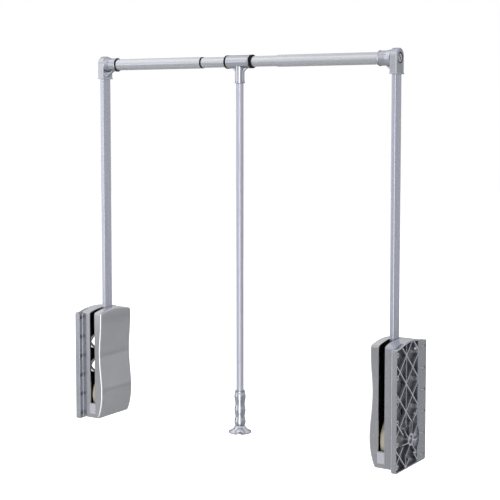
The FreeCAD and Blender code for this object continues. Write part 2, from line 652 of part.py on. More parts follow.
def make_rack():
    """Rack behind the hub, with a head for the piston rod."""
    tip_y = GEAR_R - GEAR_MODULE
    slope = math.tan(PRESSURE_ANGLE)
    half = HALF_SHARE * HALF_SHARE * RACK_PITCH
    tip_half = half - (GEAR_R - tip_y) * slope
    root_half = half + (RACK_ROOT_Y - GEAR_R) * slope
    back = RACK_ROOT_Y + RACK_BACK
    teeth = []
    for k in range(RACK_FIRST_TOOTH, RACK_LAST_TOOTH + 1):
        z = PIVOT_Z + k * RACK_PITCH
        points = [(RACK_ROOT_Y, z - root_half), (tip_y, z - tip_half),
                  (tip_y, z + tip_half), (RACK_ROOT_Y, z + root_half)]
        teeth.append(prism_x(points, GEAR_S, RACK_SIDE_S))
    rack = joined([box(GEAR_S, RACK_SIDE_S, RACK_ROOT_Y, back, RACK_FOOT_Z, RACK_TOP_Z)] + teeth)
    rack = rack.common(box(GEAR_S, RACK_SIDE_S, tip_y, back, RACK_FOOT_Z, RACK_TOP_Z))
    return rack.cut(bar_z(PISTON_ROD_R, RACK_TOP_Z - PISTON_ROD_BITE, RACK_TOP_Z, SPRING_S, SPRING_Y))


def make_piston_rod():
    """Piston rod with its piston, screwed into the head of the rack."""
    foot = RACK_TOP_Z - PISTON_ROD_BITE
    top = PISTON_Z + PISTON_LENGTH
    return joined([bar_z(PISTON_ROD_R, foot, top, SPRING_S, SPRING_Y),
                   bar_z(PISTON_R, PISTON_Z, top, SPRING_S, SPRING_Y)])


def make_cylinder():
    """Gas cylinder, with its gland below and its eye above."""
    tube = bar_z(CYLINDER_R, CYLINDER_FOOT_Z, CYLINDER_TOP_Z, SPRING_S, SPRING_Y)
    eye = bar_x(EYE_R, SPRING_S - EYE_HALF_WIDTH, SPRING_S + EYE_HALF_WIDTH, SPRING_Y, EYE_Z)
    chamber = CYLINDER_TOP_Z - CYLINDER_CAP
    neck = box(SPRING_S - EYE_HALF_WIDTH, SPRING_S + EYE_HALF_WIDTH, SPRING_Y - EYE_HALF_WIDTH,
               SPRING_Y + EYE_HALF_WIDTH, chamber, EYE_Z)
    body = joined([tube, eye, neck])
    cuts = [bar_z(CYLINDER_BORE_R, CYLINDER_FOOT_Z + CYLINDER_CAP, chamber, SPRING_S, SPRING_Y)]
    cuts.append(bar_z(PISTON_ROD_R + RUN_CLEARANCE, CYLINDER_FOOT_Z, chamber, SPRING_S, SPRING_Y))
    cuts.append(bar_x(CYLINDER_PIN_R, SPRING_S - EYE_R, SPRING_S + EYE_R, SPRING_Y, EYE_Z))
    for cut in cuts:
        body = body.cut(cut)
    return body


def make_cylinder_pin():
    """Pin through the cylinder's eye, between the cover and its post in the wall case."""
    return bar_x(CYLINDER_PIN_R, SPRING_S - EYE_HALF_WIDTH - WALL, PIN_FOOT_S, SPRING_Y, EYE_Z)


def make_arm():
    """Flat arm tube from the hub up into the elbow."""
    half_x = HALF_SHARE * ARM_WIDTH
    half_y = HALF_SHARE * ARM_DEPTH
    foot = PIVOT_Z + ARM_FOOT_RISE
    top = ROD_Z - ARM_TOP_DROP
    bore_x = half_x - ARM_WALL
    bore_y = half_y - ARM_WALL
    outside = rounded_box(-half_x, half_x, -half_y, half_y, foot, top, ARM_EDGE_R, Z_AXIS)
    inside = rounded_box(-bore_x, bore_x, -bore_y, bore_y, foot, top, ARM_EDGE_R - ARM_WALL, Z_AXIS)
    holes = [bar_x(RIVET_R, -half_x, half_x, 0, foot + rise) for rise in RIVET_RISES]
    return outside.cut(Part.makeCompound([inside] + holes))


def make_arm_rivets():
    """Two rivets through the arm and the hub's tongue."""
    half_x = HALF_SHARE * ARM_WIDTH
    rivets = []
    for rise in RIVET_RISES:
        z = PIVOT_Z + ARM_FOOT_RISE + rise
        shank = bar_x(RIVET_R, -half_x, half_x, 0, z)
        heads = [bar_x(RIVET_HEAD_R, half_x, half_x + RIVET_HEAD, 0, z)]
        heads.append(bar_x(RIVET_HEAD_R, -half_x - RIVET_HEAD, -half_x, 0, z))
        rivets.append(joined([shank] + heads))
    return Part.makeCompound(rivets)


def elbow_gusset(half):
    """Dished web under the sleeve of the elbow."""
    start = -half
    top = ROD_Z - OUTER_R
    low = ROD_Z - GUSSET_DROP
    web = [(start, low), (start, top), (start - GUSSET_RUN, top)]
    gusset = prism_y(web, -HALF_SHARE * GUSSET_THICKNESS, HALF_SHARE * GUSSET_THICKNESS)
    rim = GUSSET_RIM + GUSSET_RIM
    dish = [(start, low + rim), (start, top), (start - GUSSET_RUN + rim, top)]
    near = HALF_SHARE * GUSSET_THICKNESS - GUSSET_DISH
    for y0, y1 in ((near, near + GUSSET_DISH), (-near - GUSSET_DISH, -near)):
        gusset = gusset.cut(prism_y(dish, y0, y1))
    return gusset


def make_elbow():
    """Elbow: a socket for the arm, a grooved sleeve for the rod tube and a screw recess outside."""
    half = HALF_SHARE * ELBOW_WIDTH
    half_y = HALF_SHARE * ELBOW_DEPTH
    dome_z = ROD_Z + ELBOW_RISE - half_y
    head = box(-half, half, -half_y, half_y, ROD_Z - ELBOW_DROP, dome_z)
    head = joined([head, bar_x(half_y, -half, half, 0, dome_z)])
    foot = ROD_Z - ELBOW_DROP
    rims = []
    for edge in head.Edges:
        bounds = edge.BoundBox
        if bounds.XLength < RUN_CLEARANCE and bounds.ZMax > foot + WALL:
            rims.append(edge)
    head = head.makeFillet(ELBOW_EDGE_R, rims)
    end = -half - SLEEVE_LENGTH
    sleeve = bar_x(SLEEVE_R, end, -half, 0, ROD_Z)
    taper = Part.makeCone(SLEEVE_R, TAPER_R, TAPER_LENGTH, V(-half - TAPER_LENGTH, 0, ROD_Z), X_AXIS)
    taper = taper.common(box(end, 0, -half_y, half_y, foot, ROD_Z + ELBOW_RISE))
    elbow = joined([head, sleeve, taper, elbow_gusset(half)])
    cuts = [bar_x(OUTER_R + SOCKET_FIT, end, -half, 0, ROD_Z)]
    arm_x = HALF_SHARE * ARM_WIDTH + SOCKET_FIT
    arm_y = HALF_SHARE * ARM_DEPTH + SOCKET_FIT
    cuts.append(box(-arm_x, arm_x, -arm_y, arm_y, foot, ROD_Z - ARM_TOP_DROP))
    cuts.append(bar_x(ELBOW_RECESS_R, half - ELBOW_RECESS, half, 0, ROD_Z))
    cuts.append(bar_x(ELBOW_SCREW_R, -half, half, 0, ROD_Z))
    for k in range(SLEEVE_GROOVES):
        angle = (k + HALF_SHARE) * 2 * math.pi / SLEEVE_GROOVES
        y = SLEEVE_R * math.cos(angle)
        z = ROD_Z + SLEEVE_R * math.sin(angle)
        if math.sin(angle) > -math.cos(PRESSURE_ANGLE):
            cuts.append(bar_x(SLEEVE_GROOVE_R, end + SLEEVE_GROOVE_MARGIN,
                              -half - SLEEVE_GROOVE_MARGIN, y, z))
    for cut in cuts:
        elbow = elbow.cut(cut)
    return elbow.removeSplitter()


def make_elbow_screw():
    """Screw in the elbow's recess, through to the plug in the rod tube."""
    half = HALF_SHARE * ELBOW_WIDTH
    seat = half - ELBOW_RECESS
    shank = bar_x(ELBOW_SCREW_R, -half - ELBOW_SCREW_BITE, seat, 0, ROD_Z)
    head = bar_x(ELBOW_SCREW_HEAD_R, seat, seat + ELBOW_SCREW_HEAD, 0, ROD_Z)
    drive = bar_x(DRIVE_R, seat + ELBOW_SCREW_HEAD - DRIVE_DEPTH, seat + ELBOW_SCREW_HEAD, 0, ROD_Z)
    return shank.fuse(head).cut(drive).removeSplitter()


def make_end_plug():
    """Plug in the end of the rod tube that takes the elbow screw."""
    half = HALF_SHARE * ELBOW_WIDTH
    plug = bar_x(OUTER_BORE_R, -half - PLUG_LENGTH, -half, 0, ROD_Z)
    return plug.cut(bar_x(ELBOW_SCREW_R, -half - PLUG_LENGTH, -half, 0, ROD_Z))


def make_elbow_seal():
    """Dark ring on the rod tube against the mouth of the elbow."""
    mouth = -HALF_SHARE * ELBOW_WIDTH - SLEEVE_LENGTH
    ring = bar_x(SEAL_R, mouth - SEAL_LENGTH, mouth, 0, ROD_Z)
    return ring.cut(bar_x(OUTER_R, mouth - SEAL_LENGTH, mouth, 0, ROD_Z))


def make_outer_tube():
    """Outer rod tube from the elbow to near the tee."""
    start = OUTER_END_X - ARM_PLANE_X
    end = -HALF_SHARE * ELBOW_WIDTH
    return bar_x(OUTER_R, start, end, 0, ROD_Z).cut(bar_x(OUTER_BORE_R, start, end, 0, ROD_Z))


def make_ferrule():
    """Dark ring on the inner end of the outer rod tube."""
    end = OUTER_END_X - ARM_PLANE_X
    ring = bar_x(FERRULE_R, end - FERRULE_LENGTH, end, 0, ROD_Z)
    return ring.cut(bar_x(OUTER_BORE_R, end - FERRULE_LENGTH, end, 0, ROD_Z))


def make_inner_tube():
    """Inner rod tube that the outer ones slide on."""
    tube = bar_x(INNER_R, -INNER_HALF_LENGTH, INNER_HALF_LENGTH, 0, ROD_Z)
    return tube.cut(bar_x(INNER_R - TUBE_WALL, -INNER_HALF_LENGTH, INNER_HALF_LENGTH, 0, ROD_Z))


def make_tee_ring(length):
    """Dark ring fixed on the inner tube beside the tee, as it is on the right."""
    start = TEE_HALF_LENGTH + RING_GAP
    ring = bar_x(RING_R, start, start + length, 0, ROD_Z)
    ring = ring.makeFillet(RING_EDGE_R, [e for e in ring.Edges if e.BoundBox.XLength < RUN_CLEARANCE])
    return ring.cut(bar_x(INNER_R, start, start + length, 0, ROD_Z))


def tee_web():
    """Bowed web between the barrel of the tee and one side of its stem."""
    y = -HALF_SHARE * WEB_THICKNESS
    reach = STEM_R * HALF_SHARE
    top = ROD_Z - INNER_R
    foot = ROD_Z - WEB_DROP
    outer = V(reach + WEB_RUN, y, top)
    inner = V(reach, y, foot)
    bow = V(reach + WEB_RUN * WEB_BOW_SHARE, y, foot + (top - foot) * (1 - WEB_BOW_SHARE))
    lines = Part.makePolygon([inner, V(0, y, foot), V(0, y, top), outer])
    web = Part.Face(Part.Wire([Part.Arc(outer, bow, inner).toShape()] + lines.Edges))
    return web.extrude(V(0, WEB_THICKNESS, 0))


def make_tee():
    """Tee: a barrel that turns on the inner tube, with a grooved stem for the pull rod."""
    barrel = bar_x(TEE_R, -TEE_HALF_LENGTH, TEE_HALF_LENGTH, 0, ROD_Z)
    barrel = barrel.makeFillet(TEE_EDGE_R, [e for e in barrel.Edges if e.BoundBox.XLength < RUN_CLEARANCE])
    stem = bar_z(STEM_R, ROD_Z - STEM_DROP, ROD_Z, 0, 0)
    tee = joined([barrel, stem, tee_web(), tee_web().mirror(V(0, 0, 0), X_AXIS)])
    cuts = [bar_x(INNER_R + RUN_CLEARANCE, -TEE_HALF_LENGTH, TEE_HALF_LENGTH, 0, ROD_Z)]
    cuts.append(bar_z(PULL_R, ROD_Z - STEM_DROP, ROD_Z - PULL_TOP_DROP, 0, 0))
    cuts.append(bar_y(TEE_PIN_R, 0, STEM_R, 0, ROD_Z - TEE_PIN_DROP))
    for k in range(STEM_GROOVES):
        angle = (k + HALF_SHARE) * 2 * math.pi / STEM_GROOVES
        x = STEM_R * math.cos(angle)
        y = STEM_R * math.sin(angle)
        cuts.append(bar_z(STEM_GROOVE_R, ROD_Z - STEM_GROOVE_FOOT_DROP, ROD_Z - STEM_GROOVE_TOP_DROP, x, y))
    for cut in cuts:
        tee = tee.cut(cut)
    return tee.removeSplitter()


def make_tee_pin():
    """Pin at the back of the stem that holds the pull rod."""
    return bar_y(TEE_PIN_R, PULL_R - PULL_WALL, STEM_R, 0, ROD_Z - TEE_PIN_DROP)


def make_pull_rod():
    """Pull rod from the tee down into the grip."""
    foot = ROD_Z - GRIP_TOP_DROP - GRIP_BORE
    top = ROD_Z - PULL_TOP_DROP
    tube = bar_z(PULL_R, foot, top, 0, 0).cut(bar_z(PULL_R - PULL_WALL, foot, top, 0, 0))
    return tube.cut(bar_y(TEE_PIN_R, 0, PULL_R, 0, ROD_Z - TEE_PIN_DROP))


def make_grip():
    """Grip with three swells, bored for the pull rod."""
    top = ROD_Z - GRIP_TOP_DROP
    foot = ROD_Z - GRIP_FOOT_DROP
    shoulder = top - GRIP_LIP
    edges = [Part.makePolygon([V(0, 0, foot), V(WAIST_R, 0, foot)])]
    low = foot
    points = [V(WAIST_R, 0, foot)]
    for share in SWELL_SHARES:
        high = low + share * (shoulder - foot)
        points.append(V(SWELL_R, 0, HALF_SHARE * (low + high)))
        points.append(V(WAIST_R, 0, high))
        low = high
    wave = Part.BSplineCurve()
    wave.interpolate(points)
    edges.append(wave.toShape())
    edges.append(Part.makePolygon([V(WAIST_R, 0, shoulder), V(GRIP_LIP_R, 0, shoulder),
                                   V(GRIP_LIP_R, 0, top), V(0, 0, top), V(0, 0, foot)]))
    wire = Part.Wire([e for edge in edges for e in edge.Edges])
    grip = Part.Face(wire).revolve(V(0, 0, 0), Z_AXIS, 360)
    grip = grip.cut(bar_z(PULL_R, top - GRIP_BORE, top, 0, 0))
    return grip.cut(bar_z(FOOT_SCREW_R, foot, foot + FOOT_SCREW_BITE, 0, 0))


def make_grip_foot():
    """Flared foot under the grip."""
    top = ROD_Z - GRIP_FOOT_DROP
    low = ROD_Z - FOOT_DROP
    rim = low + FOOT_RIM
    flare = V(HALF_SHARE * (FOOT_NECK_R + FOOT_R) - FOOT_FLARE_BOW, 0, HALF_SHARE * (top + rim) - FOOT_FLARE_BOW)
    arc = Part.Arc(V(FOOT_NECK_R, 0, top), flare, V(FOOT_R, 0, rim)).toShape()
    rest = Part.makePolygon([V(FOOT_R, 0, rim), V(FOOT_R, 0, low), V(0, 0, low), V(0, 0, top),
                             V(FOOT_NECK_R, 0, top)])
    foot = Part.Face(Part.Wire([arc] + rest.Edges)).revolve(V(0, 0, 0), Z_AXIS, 360)
    foot = foot.cut(bar_z(FOOT_NECK_R, low, low + FOOT_DISH, 0, 0))
    return foot.cut(bar_z(FOOT_SCREW_R, low, top, 0, 0))


def make_foot_screw():
    """Screw that holds the foot to the grip."""
    seat = ROD_Z - FOOT_DROP + FOOT_DISH
    head = bar_z(FOOT_SCREW_HEAD_R, seat - FOOT_SCREW_HEAD, seat, 0, 0)
    return joined([head, bar_z(FOOT_SCREW_R, seat, ROD_Z - GRIP_FOOT_DROP + FOOT_SCREW_BITE, 0, 0)])


def save(name, shape):
    """Write one piece as a file of its own."""
    shape.exportStep("parts/" + name + ".step")


SIDE_PIECES = {
    "wall_case": make_wall_case,
    "cover": make_cover,
    "bumper": make_bumper,
    "axle": make_axle,
    "axle_washer": make_axle_washer,
    "case_screws": make_case_screws,
    "hub": make_hub,
    "hub_bushes": make_hub_bushes,
    "rack": make_rack,
    "piston_rod": make_piston_rod,
    "cylinder": make_cylinder,
    "cylinder_pin": make_cylinder_pin,
    "arm": make_arm,
    "arm_rivets": make_arm_rivets,
    "elbow": make_elbow,
    "elbow_screw": make_elbow_screw,
    "end_plug": make_end_plug,
    "elbow_seal": make_elbow_seal,
    "outer_tube": make_outer_tube,
    "ferrule": make_ferrule,
}

for piece, make in SIDE_PIECES.items():
    right = make()
    right.translate(V(ARM_PLANE_X, 0, 0))
    save("right_" + piece, right)
    save("left_" + piece, right.mirror(V(0, 0, 0), X_AXIS))

save("inner_tube", make_inner_tube())
save("right_tee_ring", make_tee_ring(RIGHT_RING_LENGTH))
save("left_tee_ring", make_tee_ring(LEFT_RING_LENGTH).mirror(V(0, 0, 0), X_AXIS))
save("tee", make_tee())
save("tee_pin", make_tee_pin())
save("pull_rod", make_pull_rod())
save("grip", make_grip())
save("grip_foot", make_grip_foot())
save("foot_screw", make_foot_screw())
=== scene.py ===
"""Dresses a pull-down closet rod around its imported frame: finishes, small trim, studio and camera."""
import json
import logging
import math
from dataclasses import dataclass
from enum import Enum
from typing import Iterable, Sequence

import bmesh
import bpy
from mathutils import Matrix, Vector


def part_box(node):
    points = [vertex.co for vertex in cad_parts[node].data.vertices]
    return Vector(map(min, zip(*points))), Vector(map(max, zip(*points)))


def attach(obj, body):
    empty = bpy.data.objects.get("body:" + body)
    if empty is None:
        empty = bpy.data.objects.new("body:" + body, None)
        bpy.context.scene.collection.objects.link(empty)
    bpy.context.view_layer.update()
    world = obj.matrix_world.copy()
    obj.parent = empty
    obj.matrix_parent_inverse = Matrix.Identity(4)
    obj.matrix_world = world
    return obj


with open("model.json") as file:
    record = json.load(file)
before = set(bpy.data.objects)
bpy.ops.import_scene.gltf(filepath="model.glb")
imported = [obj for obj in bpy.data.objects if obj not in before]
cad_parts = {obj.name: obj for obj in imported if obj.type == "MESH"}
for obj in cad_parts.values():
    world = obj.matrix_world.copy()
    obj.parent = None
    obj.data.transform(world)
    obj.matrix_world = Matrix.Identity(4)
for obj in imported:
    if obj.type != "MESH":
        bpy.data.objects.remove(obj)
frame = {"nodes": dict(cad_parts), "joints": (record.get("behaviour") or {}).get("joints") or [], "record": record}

LOG = logging.getLogger("closet_rod")
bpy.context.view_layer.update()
MM = 0.001
MERGE = 1e-6
EDGE_FADE = 0.2 * MM
SHARP_ANGLE = math.radians(38.0)
BEVEL_STEPS = 3
SMALL_STEPS = 28
RING_STEPS = 56
BARREL_STEPS = 64
X_AXIS = Vector((1.0, 0.0, 0.0))
Z_AXIS = Vector((0.0, 0.0, 1.0))
WHITE = (1.0, 1.0, 1.0)

Colour = tuple[float, float, float]
Socket = bpy.types.NodeSocket
Pairs = tuple[tuple[float, float], ...]


class Side(Enum):
    """The two mirrored sides of the object."""

    RIGHT = 1
    LEFT = -1

    @property
    def prefix(self) -> str:
        """Start of the node and body names on this side.

        Returns:
            The side's name and an underscore.
        """
        return self.name.lower() + "_"


class Grain(Enum):
    """Direction of the fine lines in a drawn or turned metal, as a stretch of its pattern."""

    ALONG_X = (0.02, 1.0, 1.0)
    ALONG_Z = (1.0, 1.0, 0.02)
    NONE = (1.0, 1.0, 1.0)


class NodeSheet:
    """A node tree with short calls for the nodes that finishes and the room share."""

    def __init__(self, tree: bpy.types.NodeTree) -> None:
        """Takes a tree and empties it.

        Args:
            tree: The node tree to build in.
        """
        self.tree = tree
        self.tree.nodes.clear()

    def node(self, kind: str) -> bpy.types.Node:
        """Adds a node.

        Args:
            kind: Blender's name of the node's kind.

        Returns:
            The new node.
        """
        return self.tree.nodes.new(kind)

    def link(self, source: Socket, target: Socket) -> None:
        """Wires one socket to another.

        Args:
            source: Socket that gives the value.
            target: Socket that takes it.
        """
        self.tree.links.new(source, target)

    def math(self, operation: str, first: Socket, second: Socket | float = 0.0) -> Socket:
        """Works out a sum of two values.

        Args:
            operation: Name of the sum.
            first: Socket of the first value.
            second: Socket of the second value, or the value.

        Returns:
            The result's socket.
        """
        sum_node = self.node("ShaderNodeMath")
        sum_node.operation = operation
        self.link(first, sum_node.inputs[0])
        if isinstance(second, bpy.types.NodeSocket):
            self.link(second, sum_node.inputs[1])
        else:
            sum_node.inputs[1].default_value = second
        return sum_node.outputs[0]

    def spread(self, value: Socket, low: float, high: float, start: float = 0.3, end: float = 0.7,
               smooth: bool = False) -> Socket:
        """Maps values from one range to another.

        Args:
            value: Socket of the value.
            low: What the start becomes.
            high: What the end becomes.
            start: Value where the range starts.
            end: Value where the range ends.
            smooth: Whether the ends are soft.

        Returns:
            Socket of the mapped value.
        """
        span = self.node("ShaderNodeMapRange")
        if smooth:
            span.interpolation_type = "SMOOTHSTEP"
        for name, number in zip(("From Min", "From Max", "To Min", "To Max"), (start, end, low, high)):
            span.inputs[name].default_value = number
        self.link(value, span.inputs["Value"])
        return span.outputs["Result"]

    def ramp(self, value: Socket, stops: Pairs, reach: float) -> Socket:
        """Grades a value through a row of stops.

        Args:
            value: Socket of the value, from minus reach to plus reach.
            stops: Pairs of a value and what it becomes, in rising order.
            reach: Largest value that comes in.

        Returns:
            Socket of the graded value.
        """
        curve = self.node("ShaderNodeFloatCurve")
        points = curve.mapping.curves[0].points
        curve.mapping.use_clip = False
        while len(points) < len(stops):
            points.new(0.5, 0.5)
        for point, (at, becomes) in zip(points, stops):
            point.location = ((at + reach) / (2 * reach), becomes)
            point.handle_type = "VECTOR"
        curve.mapping.update()
        self.link(self.spread(value, 0.0, 1.0, -reach, reach), curve.inputs["Value"])
        return curve.outputs["Value"]

    def tint(self, share: Socket, first: Colour | Socket, second: Colour | Socket) -> Socket:
        """Mixes two colours.

        Args:
            share: Socket that says how much of the second colour shows.
            first: Colour, or the socket of one, where the share is 0.
            second: Colour, or the socket of one, where the share is 1.

        Returns:
            The mixed colour's socket.
        """
        mix = self.node("ShaderNodeMix")
        mix.data_type = "RGBA"
        self.link(share, mix.inputs["Factor"])
        for name, colour in (("A", first), ("B", second)):
            if isinstance(colour, bpy.types.NodeSocket):
                self.link(colour, mix.inputs[name])
            else:
                mix.inputs[name].default_value = (*colour, 1.0)
        return mix.outputs["Result"]


class ShaderSheet(NodeSheet):
    """Node tree of one material."""

    FACING_WALL = (0.2, 0.5)
    CORNER_TURN = (0.12, 0.36)

    def __init__(self, name: str) -> None:
        """Starts the tree with one shader wired to its output.

        Args:
            name: Name of the material.
        """
        self.material = bpy.data.materials.new(name)
        self.material.use_nodes = True
        super().__init__(self.material.node_tree)
        self.shader = self.node("ShaderNodeBsdfPrincipled")
        output = self.node("ShaderNodeOutputMaterial")
        self.link(self.shader.outputs["BSDF"], output.inputs["Surface"])

    def constant(self, socket: str, value: object) -> None:
        """Sets a value that is the same all over on the shader's own socket.

        Args:
            socket: Name of the socket.
            value: The value.
        """
        self.shader.inputs[socket].default_value = value

    def wire(self, socket: str, source: Socket) -> None:
        """Wires a pattern to one of the shader's sockets.

        Args:
            socket: Name of the shader's socket.
            source: Socket of the pattern.
        """
        self.link(source, self.shader.inputs[socket])

    def place(self, stretch: Sequence[float]) -> Socket:
        """Object coordinates, stretched along an axis.

        Args:
            stretch: Scale of the pattern along X, Y and Z.

        Returns:
            The vector socket for a pattern.
        """
        mapping = self.node("ShaderNodeMapping")
        mapping.inputs["Scale"].default_value = stretch
        self.link(self.node("ShaderNodeTexCoord").outputs["Object"], mapping.inputs["Vector"])
        return mapping.outputs["Vector"]

    def noise(self, place: Socket, per_metre: float, detail: float = 2.0) -> Socket:
        """Soft noise.

        Args:
            place: Vector socket that it reads.
            per_metre: How many patches fit in a metre.
            detail: How much finer noise lies in the patches.

        Returns:
            Socket with values about 0.5.
        """
        noise = self.node("ShaderNodeTexNoise")
        noise.inputs["Scale"].default_value = per_metre
        noise.inputs["Detail"].default_value = detail
        self.link(place, noise.inputs["Vector"])
        return noise.outputs["Fac"]

    def between(self, value: Socket, low: float, high: float, fade: float) -> Socket:
        """Picks the values between two limits.

        Args:
            value: Socket of the value.
            low: Lower limit, where the pick starts at once.
            high: Upper limit.
            fade: How far below the upper limit the pick is whole.

        Returns:
            Socket with 1 where the value is between the limits and 0 outside.
        """
        above = self.math("GREATER_THAN", value, low)
        return self.math("MULTIPLY", above, self.spread(value, 1.0, 0.0, high - fade, high))

    def shade_share(self, shade: "PaintedLightBox") -> Socket:
        """How deep a point is in a space of painted shade or painted highlight, from 0 outside to 1 far inside.

        Args:
            shade: The space, on both sides of the object's middle.

        Returns:
            The share's socket.
        """
        place = self.node("ShaderNodeSeparateXYZ")
        self.link(self.node("ShaderNodeTexCoord").outputs["Object"], place.inputs[0])
        outward = self.math("ABSOLUTE", place.outputs["X"])
        share = self.between(outward, shade.low[0], shade.high[0], shade.fade)
        for axis, low, high in zip("YZ", shade.low[1:], shade.high[1:]):
            share = self.math("MULTIPLY", share, self.between(place.outputs[axis], low, high, EDGE_FADE))
        return share

    def inside_share(self, half_depth: float) -> Socket:
        """Picks the inner side of a shell: what faces the wall, away from its front and rear edges.

        Args:
            half_depth: How far from the middle the inside reaches, in metres.

        Returns:
            Socket with 1 on the inner side and 0 outside.
        """
        coords = self.node("ShaderNodeTexCoord")
        place = self.node("ShaderNodeSeparateXYZ")
        facing = self.node("ShaderNodeSeparateXYZ")
        self.link(coords.outputs["Object"], place.inputs[0])
        self.link(coords.outputs["Normal"], facing.inputs[0])
        to_wall = self.math("MULTIPLY", facing.outputs["X"], self.math("SIGN", place.outputs["X"]))
        inner = self.spread(to_wall, 0.0, 1.0, *self.FACING_WALL)
        off_middle = self.math("ABSOLUTE", place.outputs["Y"])
        return self.math("MULTIPLY", inner, self.spread(off_middle, 1.0, 0.0, half_depth - MM, half_depth))

    def corner_share(self) -> Socket:
        """Picks the upright rounded corners, which face neither straight aside nor straight ahead, for a painted
        highlight.

        Returns:
            Socket with 1 in the middle of such a corner and 0 on flat faces.
        """
        facing = self.node("ShaderNodeSeparateXYZ")
        self.link(self.node("ShaderNodeTexCoord").outputs["Normal"], facing.inputs[0])
        aside = self.math("ABSOLUTE", facing.outputs["X"])
        ahead = self.math("ABSOLUTE", facing.outputs["Y"])
        return self.spread(self.math("MULTIPLY", aside, ahead), 0.0, 1.0, *self.CORNER_TURN)

    def bump(self, height: Socket, depth: float) -> Socket:
        """Small relief on the surface.

        Args:
            height: Pattern of the relief.
            depth: Depth of the relief in metres.

        Returns:
            The new normal's socket.
        """
        bump = self.node("ShaderNodeBump")
        bump.inputs["Distance"].default_value = depth
        self.link(height, bump.inputs["Height"])
        return bump.outputs["Normal"]


@dataclass(frozen=True)
class PaintedLightBox:
    """A space whose colour is multiplied by its dark factor: painted shade below 1, painted highlight above 1;
    given on the right side and mirrored to the left.
    """

    low: tuple[float, float, float]
    high: tuple[float, float, float]
    fade: float
    # dark is the factor on the colour: below 1 it paints shade, above 1 it paints a highlight.
    dark: float


def shaded(colour: Colour, factor: float) -> Colour:
    """Makes a colour lighter or darker.

    Args:
        colour: The colour.
        factor: What each part of it is multiplied by.

    Returns:
        The new colour, with no part above 1.
    """
    return tuple(min(1.0, part * factor) for part in colour)


@dataclass(frozen=True)
class Finish:
    """What every finish has: a name, a colour and a gloss, and how far both vary."""

    name: str
    colour: Colour
    roughness: float
    deep: float = 0.96
    pale: float = 1.04
    smoother: float = 0.06
    rougher: float = 0.08

    def mottled(self, sheet: ShaderSheet, pattern: Socket) -> Socket:
        """The finish's colour, which varies a little with a pattern.

        Args:
            sheet: Sheet of the material.
            pattern: Socket of the pattern.

        Returns:
            The colour's socket.
        """
        share = sheet.spread(pattern, 0.0, 1.0)
        return sheet.tint(share, shaded(self.colour, self.deep), shaded(self.colour, self.pale))

    def gloss(self, sheet: ShaderSheet, pattern: Socket) -> Socket:
        """The finish's roughness, which varies a little with a pattern.

        Args:
            sheet: Sheet of the material.
            pattern: Socket of the pattern.

        Returns:
            The roughness's socket.
        """
        return sheet.spread(pattern, self.roughness - self.smoother, self.roughness + self.rougher)

    def material(self) -> bpy.types.Material:
        """Makes the finish's material.

        Returns:
            The new material.
        """
        raise NotImplementedError


@dataclass(frozen=True)
class MouldedPlastic(Finish):
    """Moulded plastic, plain or silver: faint clouds of colour, a soft ripple, painted shade in its hollows and on
    its inner side, and painted highlights on its upright corners and in given spaces.
    """

    smoother: float = 0.03
    rougher: float = 0.04
    metallic: float = 0.0
    clouds_per_metre: float = 16.0
    gloss_per_metre: float = 60.0
    ripple_per_metre: float = 260.0
    ripple_depth: float = 0.004 * MM
    coat: float = 0.0
    corner_light: float = 1.0
    shades: tuple[PaintedLightBox, ...] = ()
    inside_half_depth: float = 0.0
    inside_dark: float = 0.12

    def material(self) -> bpy.types.Material:
        """Makes the plastic's material.

        Returns:
            The new material.
        """
        sheet = ShaderSheet(self.name)
        place = sheet.place(Grain.NONE.value)
        colour = self.mottled(sheet, sheet.noise(place, self.clouds_per_metre, detail=3.0))
        # Painted highlight: the upright rounded corners are coloured lighter by this factor.
        if self.corner_light > 1.0:
            light = shaded(self.colour, self.corner_light)
            colour = sheet.tint(sheet.corner_share(), colour, light)
        # Painted shade and painted highlight in the listed boxes.
        for shade in self.shades:
            colour = sheet.tint(sheet.shade_share(shade), colour, shaded(self.colour, shade.dark))
        # Painted shade: the inner side of the shell is darkened by this factor.
        if self.inside_half_depth:
            dark = shaded(self.colour, self.inside_dark)
            colour = sheet.tint(sheet.inside_share(self.inside_half_depth), colour, dark)
        sheet.wire("Base Color", colour)
        sheet.wire("Roughness", self.gloss(sheet, sheet.noise(place, self.gloss_per_metre, detail=4.0)))
        sheet.wire("Normal", sheet.bump(sheet.noise(place, self.ripple_per_metre), self.ripple_depth))
        sheet.constant("Metallic", self.metallic)
        sheet.constant("Coat Weight", self.coat)
        return sheet.material


@dataclass(frozen=True)
class DrawnMetal(Finish):
    """Drawn and anodised tube: fine lines along its length and a satin sheen."""

    grain: Grain = Grain.ALONG_Z
    metallic: float = 0.85
    edge_tint: float = 0.6
    lines_per_metre: float = 900.0
    broad_per_metre: float = 140.0
    line_depth: float = 0.0015 * MM

    def material(self) -> bpy.types.Material:
        """Makes the metal's material.

        Returns:
            The new material.
        """
        sheet = ShaderSheet(self.name)
        place = sheet.place(self.grain.value)
        lines = sheet.noise(place, self.lines_per_metre, detail=3.0)
        broad = sheet.noise(place, self.broad_per_metre)
        sheet.wire("Base Color", self.mottled(sheet, broad))
        sheet.wire("Roughness", self.gloss(sheet, lines))
        sheet.wire("Normal", sheet.bump(lines, self.line_depth))
        sheet.constant("Metallic", self.metallic)
        sheet.constant("Specular Tint", (self.edge_tint, self.edge_tint, self.edge_tint, 1.0))
        return sheet.material


